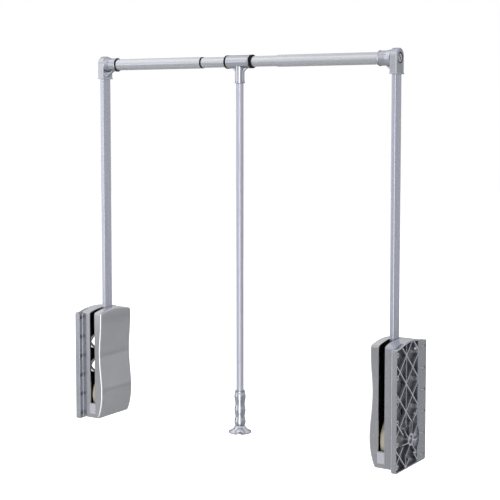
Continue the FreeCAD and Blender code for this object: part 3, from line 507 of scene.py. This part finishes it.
@dataclass(frozen=True)
class PolishedCasting(Finish):
    """Polished and plated casting: bright, with a slow ripple, faint smudges and darker rims."""

    deep: float = 0.95
    pale: float = 1.0
    smoother: float = 0.04
    rougher: float = 0.07
    edge_tint: float = 0.25
    ripple_per_metre: float = 90.0
    smudges_per_metre: float = 45.0
    ripple_depth: float = 0.04 * MM

    def material(self) -> bpy.types.Material:
        """Makes the casting's material.

        Returns:
            The new material.
        """
        sheet = ShaderSheet(self.name)
        place = sheet.place(Grain.NONE.value)
        ripple = sheet.noise(place, self.ripple_per_metre, detail=1.0)
        smudges = sheet.noise(place, self.smudges_per_metre, detail=5.0)
        sheet.wire("Base Color", self.mottled(sheet, smudges))
        sheet.wire("Roughness", self.gloss(sheet, smudges))
        sheet.wire("Normal", sheet.bump(ripple, self.ripple_depth))
        sheet.constant("Metallic", 1.0)
        sheet.constant("Specular Tint", (self.edge_tint, self.edge_tint, self.edge_tint, 1.0))
        return sheet.material


@dataclass(frozen=True)
class TurnedSteel(Finish):
    """Turned or plated steel: fine tool marks and a little staining."""

    # The second colour is the stain, so it is the darker one here.
    deep: float = 1.0
    pale: float = 0.85
    smoother: float = 0.05
    rougher: float = 0.1
    marks_per_metre: float = 1800.0
    stains_per_metre: float = 220.0
    mark_depth: float = 0.002 * MM

    def material(self) -> bpy.types.Material:
        """Makes the steel's material.

        Returns:
            The new material.
        """
        sheet = ShaderSheet(self.name)
        place = sheet.place(Grain.NONE.value)
        marks = sheet.noise(place, self.marks_per_metre)
        stains = sheet.noise(place, self.stains_per_metre, detail=4.0)
        sheet.wire("Base Color", self.mottled(sheet, stains))
        sheet.wire("Roughness", self.gloss(sheet, stains))
        sheet.wire("Normal", sheet.bump(marks, self.mark_depth))
        sheet.constant("Metallic", 1.0)
        return sheet.material


@dataclass(frozen=True)
class SoftRing(Finish):
    """Black ring of hard rubber: matt, with a dusty bloom."""

    deep: float = 1.0
    pale: float = 1.8
    bloom_per_metre: float = 260.0
    skin_per_metre: float = 2200.0
    skin_depth: float = 0.004 * MM
    mirror: float = 0.06

    def material(self) -> bpy.types.Material:
        """Makes the rubber's material.

        Returns:
            The new material.
        """
        sheet = ShaderSheet(self.name)
        place = sheet.place(Grain.NONE.value)
        bloom = sheet.noise(place, self.bloom_per_metre, detail=4.0)
        skin = sheet.noise(place, self.skin_per_metre)
        sheet.wire("Base Color", self.mottled(sheet, bloom))
        sheet.wire("Roughness", self.gloss(sheet, bloom))
        sheet.wire("Normal", sheet.bump(skin, self.skin_depth))
        sheet.constant("Specular IOR Level", self.mirror)
        return sheet.material


WALL_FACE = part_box("right_wall_case")[1].x
LATTICE_FRONT = -67.2 * MM
LATTICE_BACK = 29.7 * MM
LATTICE_FOOT = 2.4 * MM
LATTICE_TOP = 257.6 * MM
# Painted shade: the lattice pockets grow darker with depth and the inside of the case is darkened.
LATTICE_SHADE = PaintedLightBox((WALL_FACE - 8.6 * MM, LATTICE_FRONT, LATTICE_FOOT),
                         (WALL_FACE - 0.4 * MM, LATTICE_BACK, LATTICE_TOP), fade=4.5 * MM, dark=0.4)
# Painted highlight: the rib tops of the lattice are coloured lighter.
RIB_TOP_PAINTED_HIGHLIGHT = PaintedLightBox((WALL_FACE - 0.3 * MM, LATTICE_FRONT, LATTICE_FOOT),
                     (WALL_FACE + MM, LATTICE_BACK, LATTICE_TOP), fade=EDGE_FADE, dark=1.45)
CASE_SHADE = PaintedLightBox((0.0, -53.6 * MM, 4.8 * MM), (WALL_FACE - 9.6 * MM, 53.6 * MM, 249.6 * MM),
                      fade=EDGE_FADE, dark=0.1)

FLANGE_FRONT = WALL_FACE - 10.6 * MM
FLANGE_BACK = WALL_FACE - 9.4 * MM
# Painted shade: the flange face between its lip and its ridge is darker, front and rear.
FRONT_GROOVE_PAINTED_SHADE = PaintedLightBox((FLANGE_FRONT, -67.0 * MM, LATTICE_FOOT), (FLANGE_BACK, -57.6 * MM, LATTICE_TOP),
                        fade=EDGE_FADE, dark=0.62)
REAR_GROOVE_PAINTED_SHADE = PaintedLightBox((FLANGE_FRONT, 57.6 * MM, LATTICE_FOOT), (FLANGE_BACK, 67.0 * MM, LATTICE_TOP),
                       fade=EDGE_FADE, dark=0.62)
# Painted shade: the wall face of the plate behind the lattice is darker.
WALL_STRIP_PAINTED_SHADE = PaintedLightBox((WALL_FACE - MM, LATTICE_BACK, 0.0), (WALL_FACE + MM, 70.0 * MM, 261.0 * MM),
                      fade=EDGE_FADE, dark=0.84)

# All the painted shade and painted highlight of the wall case.
CASE_PAINTED_LIGHT = (LATTICE_SHADE, RIB_TOP_PAINTED_HIGHLIGHT, CASE_SHADE, FRONT_GROOVE_PAINTED_SHADE, REAR_GROOVE_PAINTED_SHADE, WALL_STRIP_PAINTED_SHADE)

CASE_GREY = MouldedPlastic("case_silver", (0.52, 0.535, 0.58), 0.22, metallic=0.85, corner_light=1.5,
                           shades=CASE_PAINTED_LIGHT)
COVER_GREY = MouldedPlastic("cover_silver", (0.56, 0.565, 0.595), 0.05, metallic=0.85, coat=0.1,
                            corner_light=1.6, inside_half_depth=53.2 * MM)
BUMPER_GREY = MouldedPlastic("bumper_grey", (0.38, 0.38, 0.41), 0.5)
NATURAL_NYLON = MouldedPlastic("natural_nylon", (0.42, 0.39, 0.30), 0.42)
BEARING_PLASTIC = MouldedPlastic("bearing_plastic", (0.06, 0.06, 0.065), 0.45)
PLUG_PLASTIC = MouldedPlastic("plug_plastic", (0.08, 0.08, 0.085), 0.5)
GROUND_STEEL = TurnedSteel("ground_steel", (0.58, 0.58, 0.60), 0.25)
PLATED_SCREW = TurnedSteel("plated_screw", (0.80, 0.80, 0.82), 0.2)
BLACK_PAINT = MouldedPlastic("black_paint", (0.03, 0.03, 0.033), 0.3, coat=0.3)
ARM_SILVER = DrawnMetal("arm_silver", (0.63, 0.65, 0.75), 0.22, grain=Grain.ALONG_Z, metallic=0.85)
ROD_SILVER = DrawnMetal("rod_silver", (0.75, 0.775, 0.815), 0.26, grain=Grain.ALONG_X, metallic=0.92)
PULL_SILVER = DrawnMetal("pull_silver", (0.66, 0.665, 0.77), 0.46, grain=Grain.ALONG_Z, metallic=0.85)
CAST_SILVER = PolishedCasting("cast_silver", (0.74, 0.76, 0.84), 0.12)
ELBOW_SILVER = PolishedCasting("elbow_silver", (0.72, 0.74, 0.82), 0.26)
# Painted shade: the rims round the wall screw holes are near black, for the shade in the holes.
HOLE_PAINTED_SHADE = MouldedPlastic("hole_painted_shade", (0.10, 0.10, 0.11), 0.4)
BLACK_RING = SoftRing("black_ring", (0.006, 0.006, 0.0065), 0.5)

FINISHES: dict[str, Finish] = {
    "case_plastic": CASE_GREY,
    "cover_plastic": COVER_GREY,
    "bumper_plastic": BUMPER_GREY,
    "nylon": NATURAL_NYLON,
    "bush_plastic": BEARING_PLASTIC,
    "plug_plastic": PLUG_PLASTIC,
    "steel": GROUND_STEEL,
    "screw_steel": PLATED_SCREW,
    "cylinder_paint": BLACK_PAINT,
    "arm_aluminium": ARM_SILVER,
    "rod_tube": ROD_SILVER,
    "pull_tube": PULL_SILVER,
    "cast_metal": CAST_SILVER,
    "elbow_metal": ELBOW_SILVER,
    "hole_edge": HOLE_PAINTED_SHADE,
    "dark_ring": BLACK_RING,
}
# Looks of the pieces that differ from the finish of their record slot.
OWN_LOOKS: dict[str, str] = {
    "pull_rod": "pull_tube",
    "right_elbow": "elbow_metal",
    "left_elbow": "elbow_metal",
    # The flange lips take the brighter casting finish in place of the case plastic, as painted highlight.
    "right_flange_lips": "cast_metal",
    "left_flange_lips": "cast_metal",
    # The rims round the wall screw holes are near black, as painted shade.
    "right_hole_rims": "hole_edge",
    "left_hole_rims": "hole_edge",
}


class FinishRack:
    """Keeps one material for each finish and puts it on pieces."""

    def __init__(self) -> None:
        """Starts with an empty rack."""
        self.materials: dict[str, bpy.types.Material] = {}

    def get(self, look: str) -> bpy.types.Material:
        """The material of a look, made at its first use.

        Args:
            look: Name of the look.

        Returns:
            Its material.
        """
        if look not in self.materials:
            self.materials[look] = FINISHES[look].material()
        return self.materials[look]

    def dress_frame(self, record: dict) -> None:
        """Puts the finishes on the frame's own nodes.

        Args:
            record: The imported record, which names each node's slot.
        """
        for part in record["subparts"]:
            node = frame["nodes"][part["node"]]
            node.data.materials.clear()
            look = OWN_LOOKS.get(part["node"], part["material_slot"])
            node.data.materials.append(self.get(look))
        LOG.info("dressed %d frame nodes", len(record["subparts"]))


class TrimMesh:
    """One new piece in the making: a mesh with the few shapes that the trim needs."""

    def __init__(self) -> None:
        """Starts an empty mesh."""
        self.bm = bmesh.new()

    def turned(self, profile: Iterable[tuple[float, float]], centre: Vector, axis: Vector,
               steps: int) -> None:
        """Turns a profile once round an axis.

        Args:
            profile: Points as (way along the axis, radius), closed where its ends meet.
            centre: Point on the axis where the way along is 0.
            axis: Direction of the axis.
            steps: How many steps make the full turn.
        """
        side = axis.orthogonal().normalized()
        verts = [self.bm.verts.new(centre + axis * along + side * out) for along, out in profile]
        edges = [self.bm.edges.new(pair) for pair in zip(verts, verts[1:] + verts[:1])]
        bmesh.ops.spin(self.bm, geom=verts + edges, cent=centre, axis=axis, angle=math.tau,
                       steps=steps, use_merge=True)

    def block(self, low: Vector, high: Vector, radius: float) -> None:
        """Adds a block with rounded edges.

        Args:
            low: Lowest corner.
            high: Highest corner.
            radius: Radius of the edges.
        """
        made = bmesh.ops.create_cube(self.bm, size=1.0)
        bmesh.ops.scale(self.bm, vec=high - low, verts=made["verts"])
        bmesh.ops.translate(self.bm, vec=(low + high) / 2, verts=made["verts"])
        edges = list({edge for vert in made["verts"] for edge in vert.link_edges})
        bmesh.ops.bevel(self.bm, geom=edges, offset=radius, affect="EDGES", segments=BEVEL_STEPS,
                        profile=0.5, material=-1, clamp_overlap=True)

    def band(self, low: Vector, high: Vector, wall: float, radius: float) -> None:
        """Adds a level rectangular band, open in the middle.

        Args:
            low: Lowest outer corner.
            high: Highest outer corner.
            wall: Thickness of the band.
            radius: Radius of its edges.
        """
        made = bmesh.ops.create_grid(self.bm, x_segments=1, y_segments=1, size=0.5)
        bmesh.ops.scale(self.bm, vec=(high.x - low.x, high.y - low.y, 1.0), verts=made["verts"])
        middle = (low + high) / 2
        bmesh.ops.translate(self.bm, vec=(middle.x, middle.y, low.z), verts=made["verts"])
        face = made["verts"][0].link_faces[0]
        ring = bmesh.ops.inset_region(self.bm, faces=[face], thickness=wall, use_boundary=True,
                                      use_even_offset=True)["faces"]
        bmesh.ops.delete(self.bm, geom=[face], context="FACES")
        raised = bmesh.ops.extrude_face_region(self.bm, geom=ring)["geom"]
        tops = [item for item in raised if isinstance(item, bmesh.types.BMVert)]
        bmesh.ops.translate(self.bm, vec=(0.0, 0.0, high.z - low.z), verts=tops)
        edges = {edge for vert in tops for edge in vert.link_edges}
        sharp = [edge for edge in edges if edge.calc_face_angle(0.0) > 1.0]
        bmesh.ops.bevel(self.bm, geom=sharp, offset=radius, affect="EDGES", segments=BEVEL_STEPS,
                        profile=0.5, material=-1, clamp_overlap=True)

    def turn(self, centre: Vector, axis: Vector, degrees: float) -> None:
        """Turns the mesh about an axis through a point.

        Args:
            centre: The point.
            axis: Direction of the axis.
            degrees: How far it turns.
        """
        turned = Matrix.Rotation(math.radians(degrees), 3, axis)
        bmesh.ops.rotate(self.bm, cent=centre, matrix=turned, verts=self.bm.verts)

    def side_piece(self, side: Side, name: str, body: str, slot: str, rack: FinishRack) -> None:
        """Ends a right-hand mesh as the piece of a side.

        Args:
            side: Side that the piece is on.
            name: Name of the piece, without its side.
            body: Body that it rides on, without its side.
            slot: Record slot of its material, and its look where it has none of its own.
            rack: Where the finishes are kept.
        """
        bmesh.ops.scale(self.bm, vec=(side.value, 1.0, 1.0), verts=self.bm.verts)
        self.piece(side.prefix + name, side.prefix + body, slot, rack)

    def piece(self, name: str, body: str, slot: str, rack: FinishRack) -> None:
        """Ends the mesh as a piece that rides on a body.

        Args:
            name: Name of the piece.
            body: Body that it rides on.
            slot: Record slot of its material, and its look where it has none of its own.
            rack: Where the finishes are kept.
        """
        bmesh.ops.remove_doubles(self.bm, verts=self.bm.verts, dist=MERGE)
        bmesh.ops.recalc_face_normals(self.bm, faces=self.bm.faces)
        mesh = bpy.data.meshes.new(name)
        self.bm.to_mesh(mesh)
        self.bm.free()
        mesh.shade_smooth()
        mesh.set_sharp_from_angle(angle=SHARP_ANGLE)
        made = bpy.data.objects.new(name, mesh)
        bpy.context.scene.collection.objects.link(made)
        mesh.materials.append(rack.get(OWN_LOOKS.get(name, slot)))
        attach(made, body)
        LOG.info("made %s on %s", name, body)


def mount_named(name: str) -> dict:
    """The record's mount of a name.

    Args:
        name: Name of the mount.

    Returns:
        The mount, as the record has it.
    """
    return next(mount for mount in frame["record"]["mounts"] if mount["name"] == name)


def joint_named(name: str) -> dict:
    """The frame's joint of a name.

    Args:
        name: Name of the joint.

    Returns:
        The joint, as the frame has it.
    """
    return next(joint for joint in frame["joints"] if joint["name"] == name)


@dataclass
class LiftUnit:
    """Trim of one lift unit: lips on the flanges, rims round the screw holes, screws in the lattice."""

    side: Side
    rack: FinishRack
    plate: float = 10.0 * MM
    lip_width: float = 2.4 * MM
    lip_height: float = 1.5 * MM
    lip_margin: float = 3.0 * MM
    lip_round_share: float = 0.7
    ridge_height: float = 1.8 * MM
    sink: float = 0.3 * MM
    rim_reach: float = 2.6 * MM
    rim_height: float = 1.9 * MM
    rim_shares: Pairs = ((0.6, 0.0), (0.9, 0.15), (1.0, 0.4), (0.85, 0.7), (0.5, 0.92))
    boss_radius: float = 4.4 * MM
    boss_height: float = 6.2 * MM
    boss_top_share: float = 0.86
    boss_foot_share: float = 1.08
    head_radius: float = 3.3 * MM
    head_height: float = 1.6 * MM
    recess_radius: float = 1.2 * MM
    recess_shares: tuple[float, float] = (0.7, 0.5)
    recess_rim_share: float = 1.1
    dome_shares: tuple[float, float] = (0.12, 0.7)
    round_share: float = 0.5
    low_screw_rise: float = 9.6 * MM
    lattice_floor: float = 7.8 * MM
    screw_inset: float = 5.5 * MM
    lattice_edge: float = 29.5 * MM

    def __post_init__(self) -> None:
        """Reads the plate's sizes from the right-hand node, which every mesh is made for."""
        low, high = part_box("right_wall_case")
        self.wall_face = high.x
        self.flange_face = high.x - self.plate
        self.half_depth = high.y
        self.holes = self.hole_places()
        self.body_half_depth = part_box("right_cover")[1].y
        self.plate_top = 2 * mount_named("right_wall_outer")["pos_m"][2]
        self.foot = low.z

    @staticmethod
    def hole_places() -> list[tuple[float, float]]:
        """Finds the wall screw holes in the record's mounts.

        Returns:
            Their places as (y, z).
        """
        places = []
        for name in ("outer", "middle", "inner"):
            mount = mount_named(f"right_wall_{name}")
            half_y = mount["dims"]["spacing_x_mm"] * MM / 2
            half_z = mount["dims"]["spacing_y_mm"] * MM / 2
            middle = mount["pos_m"][2]
            places += [(y, z) for y in (-half_y, half_y) for z in (middle - half_z, middle + half_z)]
        return places

    def lips(self) -> None:
        """Makes the raised lip on each flange's edge and the ridge in its corner with the body."""
        mesh = TrimMesh()
        low_z = self.foot + self.lip_margin
        high_z = self.plate_top - self.lip_margin
        face = self.flange_face
        for sign in (-1, 1):
            edge = sign * (self.half_depth - self.sink)
            inner = edge - sign * self.lip_width
            mesh.block(Vector((face - self.lip_height, min(edge, inner), low_z)),
                       Vector((face + self.sink, max(edge, inner), high_z)),
                       self.lip_height * self.lip_round_share)
            corner = sign * (self.body_half_depth - self.sink)
            outer = corner + sign * (self.ridge_height + self.sink)
            mesh.block(Vector((face - self.ridge_height, min(corner, outer), low_z)),
                       Vector((face + self.sink, max(corner, outer), high_z)),
                       self.ridge_height * self.lip_round_share)
        mesh.side_piece(self.side, "flange_lips", "unit", "case_plastic", self.rack)

    def hole_rims(self) -> None:
        """Makes the raised rim round each wall screw hole."""
        bore = mount_named("right_wall_outer")["dims"]["hole_r_mm"] * MM
        crown = [(self.rim_height * up, bore + self.rim_reach * out) for up, out in self.rim_shares]
        profile = [(-self.sink, bore), *crown, (-self.sink, bore + self.rim_reach)]
        mesh = TrimMesh()
        for y, z in self.holes:
            mesh.turned(profile, Vector((self.flange_face, y, z)), -X_AXIS, SMALL_STEPS)
        mesh.side_piece(self.side, "hole_rims", "unit", "case_plastic", self.rack)

    def lattice_screws(self) -> None:
        """Makes the screw posts by the rear edge of the lattice, and a bright screw in each."""
        posts = TrimMesh()
        screws = TrimMesh()
        floor = self.wall_face - self.lattice_floor
        y = self.lattice_edge - self.screw_inset
        heights = sorted({z for _, z in self.holes})
        head = self.head_height
        top = self.boss_height
        dome = top + head
        post = ((-self.sink, 0.0), (top, 0.0), (top, self.boss_radius * self.boss_top_share),
                (top - head * self.round_share, self.boss_radius),
                (-self.sink, self.boss_radius * self.boss_foot_share))
        deep, shallow = self.recess_shares
        fall, out = self.dome_shares
        screw = ((top - self.sink, 0.0), (dome - head * deep, 0.0),
                 (dome - head * shallow, self.recess_radius),
                 (dome, self.recess_radius * self.recess_rim_share),
                 (dome - head * fall, self.head_radius * out),
                 (dome - head * self.round_share, self.head_radius),
                 (top - self.sink, self.head_radius))
        for z in (heights[0] + self.low_screw_rise, heights[2], heights[-1]):
            centre = Vector((floor, y, z))
            posts.turned(post, centre, X_AXIS, SMALL_STEPS)
            screws.turned(screw, centre, X_AXIS, SMALL_STEPS)
        posts.side_piece(self.side, "lattice_posts", "unit", "case_plastic", self.rack)
        screws.side_piece(self.side, "lattice_screws", "unit", "screw_steel", self.rack)

    def build(self) -> None:
        """Makes all of the unit's trim."""
        self.lips()
        self.hole_rims()
        self.lattice_screws()


@dataclass
class LiftArm:
    """Trim of one arm: the lip at the elbow's foot, the bead at its sleeve and what is round its screw, with black
    pieces of painted shade in the screw's gap and slot.
    """

    side: Side
    rack: FinishRack
    lip: float = 0.5 * MM
    lip_height: float = 2.4 * MM
    lip_wall: float = 2.6 * MM
    bead: float = 0.6 * MM
    bead_length: float = 2.6 * MM
    bead_shares: Pairs = ((0.0, 1.0), (0.3, 2.0), (0.7, 2.0), (1.0, 1.0))
    ring_radius: float = 11.5 * MM
    ring_width: float = 1.4 * MM
    ring_height: float = 0.5 * MM
    ring_edge_share: float = 0.6
    recess: float = 2.2 * MM
    gap_height: float = 0.6 * MM
    gap_shares: Pairs = ((0.5, 0.0), (0.2, 0.5), (1.0, 1.0))
    slot_length: float = 15.0 * MM
    slot_width: float = 1.8 * MM
    slot_rise: float = 0.15 * MM
    slot_turn: float = 35.0
    sink: float = 0.3 * MM

    def __post_init__(self) -> None:
        """Reads the elbow's and its screw's place from their right-hand nodes."""
        self.low, self.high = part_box("right_elbow")
        screw_low, self.screw_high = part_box("right_elbow_screw")
        self.head_radius = (self.screw_high.y - screw_low.y) / 2
        self.rod_z = joint_named("handle_swing")["pos_m"][2]
        self.arm_x = joint_named("arm_lift")["pos_m"][0]

    def foot_lip(self) -> None:
        """Makes the lip round the arm at the foot of the elbow."""
        half_x = self.high.x - self.arm_x + self.lip
        low = Vector((self.arm_x - half_x, self.low.y - self.lip, self.low.z))
        high = Vector((self.arm_x + half_x, self.high.y + self.lip, self.low.z + self.lip_height))
        mesh = TrimMesh()
        mesh.band(low, high, self.lip_wall, self.lip)
        mesh.side_piece(self.side, "elbow_lip", "lift", "cast_metal", self.rack)

    def sleeve_bead(self) -> None:
        """Makes the bead at the mouth of the elbow's sleeve."""
        seal_low, seal_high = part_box("right_elbow_seal")
        bore = (seal_high.z - seal_low.z) / 2
        swell = [(self.bead_length * along, bore + self.bead * out) for along, out in self.bead_shares]
        profile = [(0.0, bore), *swell]
        mesh = TrimMesh()
        mesh.turned(profile, Vector((self.low.x, 0.0, self.rod_z)), X_AXIS, BARREL_STEPS)
        mesh.side_piece(self.side, "sleeve_bead", "lift", "cast_metal", self.rack)

    def screw_ring(self) -> None:
        """Makes the raised ring round the screw recess on the outer face."""
        inner = self.ring_radius
        outer = inner + self.ring_width
        high = self.ring_height
        profile = ((-self.sink, inner), (high * self.ring_edge_share, inner), (high, inner + high),
                   (high, outer - high), (-self.sink, outer))
        mesh = TrimMesh()
        mesh.turned(profile, Vector((self.high.x, 0.0, self.rod_z)), X_AXIS, RING_STEPS)
        mesh.side_piece(self.side, "elbow_ring", "lift", "cast_metal", self.rack)

    def screw_gap_painted_shade(self) -> None:
        """Makes a black ring on the floor of the gap between the screw's head and the recess, as painted shade."""
        inner = self.head_radius
        outer = self.ring_radius
        dish = [(self.gap_height * up, inner + (outer - inner) * out) for up, out in self.gap_shares]
        profile = [(-self.sink, inner), *dish, (-self.sink, outer)]
        mesh = TrimMesh()
        floor = Vector((self.high.x - self.recess, 0.0, self.rod_z))
        mesh.turned(profile, floor, X_AXIS, RING_STEPS)
        mesh.side_piece(self.side, "screw_gap_painted_shade", "lift", "dark_ring", self.rack)

    def screw_slot_painted_shade(self) -> None:
        """Makes a black strip, raised a little, across the head of the elbow's screw, as painted shade for its
        slot.
        """
        half = Vector((0.0, self.slot_width / 2, self.slot_length / 2))
        centre = Vector((self.screw_high.x, 0.0, self.rod_z))
        mesh = TrimMesh()
        mesh.block(centre - half - X_AXIS * self.sink, centre + half + X_AXIS * self.slot_rise,
                   self.slot_rise)
        mesh.turn(centre, X_AXIS, self.slot_turn)
        mesh.side_piece(self.side, "screw_slot_painted_shade", "lift", "dark_ring", self.rack)

    def build(self) -> None:
        """Makes all of the arm's trim."""
        self.foot_lip()
        self.sleeve_bead()
        self.screw_ring()
        self.screw_gap_painted_shade()
        self.screw_slot_painted_shade()


@dataclass
class PullHandle:
    """Trim of the pull handle: bands on the tee's barrel and a collar at the foot of its stem."""

    rack: FinishRack
    band: float = 0.5 * MM
    band_length: float = 4.0 * MM
    band_edge_share: float = 0.5
    collar: float = 0.5 * MM
    collar_height: float = 3.2 * MM
    stem_wall: float = 2.5 * MM
    sink: float = 0.4 * MM

    def __post_init__(self) -> None:
        """Reads the tee's and the pull rod's sizes from their nodes."""
        self.low, self.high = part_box("tee")
        self.axis_z = joint_named("handle_swing")["pos_m"][2]
        self.barrel = self.high.z - self.axis_z
        pull_low, pull_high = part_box("pull_rod")
        self.pull = (pull_high.x - pull_low.x) / 2

    def bands(self) -> None:
        """Makes the raised band at each end of the barrel."""
        inner = self.barrel - self.sink
        outer = self.barrel + self.band
        long = self.band_length
        profile = ((0.0, inner), (0.0, outer - self.band * self.band_edge_share), (self.band, outer),
                   (long - self.band, outer), (long, outer - self.band), (long, inner))
        mesh = TrimMesh()
        for sign in (-1.0, 1.0):
            end = Vector((sign * self.high.x, 0.0, self.axis_z))
            mesh.turned(profile, end, X_AXIS * -sign, BARREL_STEPS)
        mesh.piece("tee_bands", "pull_handle", "cast_metal", self.rack)

    def stem_collar(self) -> None:
        """Makes the collar at the foot of the stem."""
        inner = self.pull + self.sink
        outer = self.pull + self.stem_wall + self.collar
        high = self.collar_height
        profile = ((0.0, inner), (0.0, outer - self.collar), (self.collar, outer),
                   (high - self.collar, outer), (high, outer - self.collar), (high, inner))
        mesh = TrimMesh()
        mesh.turned(profile, Z_AXIS * self.low.z, Z_AXIS, RING_STEPS)
        mesh.piece("stem_collar", "pull_handle", "cast_metal", self.rack)

    def build(self) -> None:
        """Makes all of the handle's trim."""
        self.bands()
        self.stem_collar()


@dataclass
class SoftLight:
    """One soft box of the studio."""

    name: str
    place: tuple[float, float, float]
    size: tuple[float, float]
    watts: float
    aim: tuple[float, float, float] = (0.0, 0.0, 0.42)

    def build(self) -> None:
        """Hangs the soft box and turns it to its aim; polished faces mirror the room, not the box."""
        data = bpy.data.lights.new(self.name, "AREA")
        data.shape = "RECTANGLE"
        data.size, data.size_y = self.size
        data.energy = self.watts
        lamp = bpy.data.objects.new(self.name, data)
        lamp.visible_glossy = False
        lamp.location = self.place
        lamp.rotation_euler = (Vector(self.aim) - Vector(self.place)).to_track_quat("-Z", "Y").to_euler()
        bpy.context.scene.collection.objects.link(lamp)


@dataclass(frozen=True)
class RoomPanel:
    """One bright soft panel of the room, seen only in polished faces: bearing and width in degrees."""

    bearing: float
    half_width: float
    level: float
    half_height: float
    light: float
    core: float

    def share(self, room: NodeSheet, bearing: Socket, height: Socket) -> Socket:
        """How much of the panel is seen in a direction.

        Args:
            room: Sheet of the room's nodes.
            bearing: Socket of the direction's bearing in radians.
            height: Socket of the direction's height, from -1 below to 1 above.

        Returns:
            Socket with 1 in the panel's core and 0 outside it.
        """
        aside = room.math("ABSOLUTE", room.math("SUBTRACT", bearing, math.radians(self.bearing)))
        half = math.radians(self.half_width)
        off = room.math("ABSOLUTE", room.math("SUBTRACT", height, self.level))
        beside = room.spread(aside, 1.0, 0.0, half * self.core, half, smooth=True)
        above = room.spread(off, 1.0, 0.0, self.half_height * self.core, self.half_height, smooth=True)
        return room.math("MULTIPLY", beside, above)


@dataclass
class Studio:
    """Pale floor, soft light and the camera at the photograph's place."""

    floor_radius: float = 9.0
    floor_sides: int = 96
    floor_grey: float = 0.9
    floor_roughness: float = 0.9
    floor_drop: float = 45.0 * MM
    focal: float = 1227.55
    frame_width: float = 500.0
    sensor: float = 36.0
    eye: tuple[float, float, float] = (1.4769, -2.2431, 0.7252)
    yaw: float = 32.89
    pitch: float = 4.19
    shift: float = -0.10
    ambient: Colour = (0.50, 0.51, 0.53)
    floor_light: float = 0.62
    height_stops: Pairs = (
        (-1.0, 0.25), (-0.85, 0.46), (-0.64, 0.55), (-0.3, 0.6), (-0.216, 0.6), (-0.208, 0.52), (-0.178, 0.5),
        (-0.16, 0.72), (-0.06, 0.66), (0.03, 0.64), (0.14, 0.9), (0.3, 1.02), (0.55, 1.15), (0.78, 1.2),
        (0.84, 0.66), (0.9, 0.66), (0.96, 1.3), (1.0, 1.3))
    bearing_stops: Pairs = (
        (-180, 0.9), (-150, 0.9), (-128, 0.78), (-112, 0.64), (-48, 0.66), (-15, 0.5), (20, 0.52), (45, 0.62),
        (110, 0.66), (150, 0.85), (180, 0.9))
    panels: tuple[RoomPanel, ...] = (
        RoomPanel(bearing=-139.0, half_width=23.0, level=-0.03, half_height=0.17, light=1.1, core=0.5),
        RoomPanel(bearing=-68.0, half_width=19.0, level=-0.16, half_height=0.55, light=2.0, core=0.6))
    lights: tuple[SoftLight, ...] = (
        SoftLight("key_light", place=(-0.9, -3.3, 1.8), size=(2.2, 2.0), watts=42.0),
        SoftLight("top_light", place=(0.0, -0.4, 3.2), size=(3.0, 3.0), watts=34.0),
        SoftLight("side_light", place=(3.0, -0.6, 1.4), size=(1.2, 1.8), watts=34.0),
        SoftLight("back_light", place=(-1.5, 3.0, 2.0), size=(2.0, 2.0), watts=15.0))

    def camera(self) -> None:
        """Makes the camera at the photograph's viewing angle."""
        data = bpy.data.cameras.new("photo_camera")
        data.sensor_width = self.sensor
        data.lens = self.focal / self.frame_width * self.sensor
        data.shift_y = self.shift
        eye = bpy.data.objects.new("photo_camera", data)
        eye.location = self.eye
        eye.rotation_euler = (math.radians(90.0 - self.pitch), 0.0, math.radians(self.yaw))
        bpy.context.scene.collection.objects.link(eye)
        bpy.context.scene.camera = eye

    def floor(self) -> None:
        """Makes the pale floor."""
        bm = bmesh.new()
        bmesh.ops.create_circle(bm, cap_ends=True, segments=self.floor_sides, radius=self.floor_radius)
        bmesh.ops.translate(bm, vec=(0.0, 0.0, -self.floor_drop), verts=bm.verts)
        mesh = bpy.data.meshes.new("floor")
        bm.to_mesh(mesh)
        bm.free()
        floor = bpy.data.objects.new("floor", mesh)
        bpy.context.scene.collection.objects.link(floor)
        sheet = ShaderSheet("floor_white")
        sheet.constant("Base Color", (*shaded(WHITE, self.floor_grey), 1.0))
        sheet.constant("Roughness", self.floor_roughness)
        sheet.constant("Emission Color", (*WHITE, 1.0))
        sheet.constant("Emission Strength", self.floor_light)
        mesh.materials.append(sheet.material)
        floor.visible_glossy = False

    def sky(self) -> None:
        """Makes the room's light: white to the eye, and a graded studio in reflections."""
        world = bpy.data.worlds.new("studio")
        bpy.context.scene.world = world
        world.use_nodes = True
        room = NodeSheet(world.node_tree)
        split = room.node("ShaderNodeSeparateXYZ")
        room.link(room.node("ShaderNodeTexCoord").outputs["Generated"], split.inputs[0])
        bearing = room.math("ARCTAN2", split.outputs["Y"], split.outputs["X"])
        by_height = room.ramp(split.outputs["Z"], self.height_stops, 1.0)
        by_bearing = room.ramp(room.math("DEGREES", bearing), self.bearing_stops, 180.0)
        lit = room.math("MULTIPLY", by_height, by_bearing)
        for panel in self.panels:
            lit = room.tint(panel.share(room, bearing, split.outputs["Z"]), lit, (panel.light,) * 3)
        path = room.node("ShaderNodeLightPath")
        mix = room.tint(path.outputs["Is Glossy Ray"], self.ambient, lit)
        seen = room.tint(path.outputs["Is Camera Ray"], mix, WHITE)
        background = room.node("ShaderNodeBackground")
        room.link(seen, background.inputs["Color"])
        output = room.node("ShaderNodeOutputWorld")
        room.link(background.outputs["Background"], output.inputs["Surface"])

    def build(self) -> None:
        """Sets up the studio."""
        self.camera()
        self.floor()
        self.sky()
        for light in self.lights:
            light.build()
        bpy.context.scene.view_settings.view_transform = "Standard"


def main() -> None:
    """Dresses the frame, makes the trim and sets up the studio."""
    logging.basicConfig(level=logging.INFO, format="%(name)s: %(message)s")
    rack = FinishRack()
    rack.dress_frame(frame["record"])
    for side in Side:
        LiftUnit(side, rack).build()
        LiftArm(side, rack).build()
    PullHandle(rack).build()
    Studio().build()


if __name__ == "__main__":
    main()
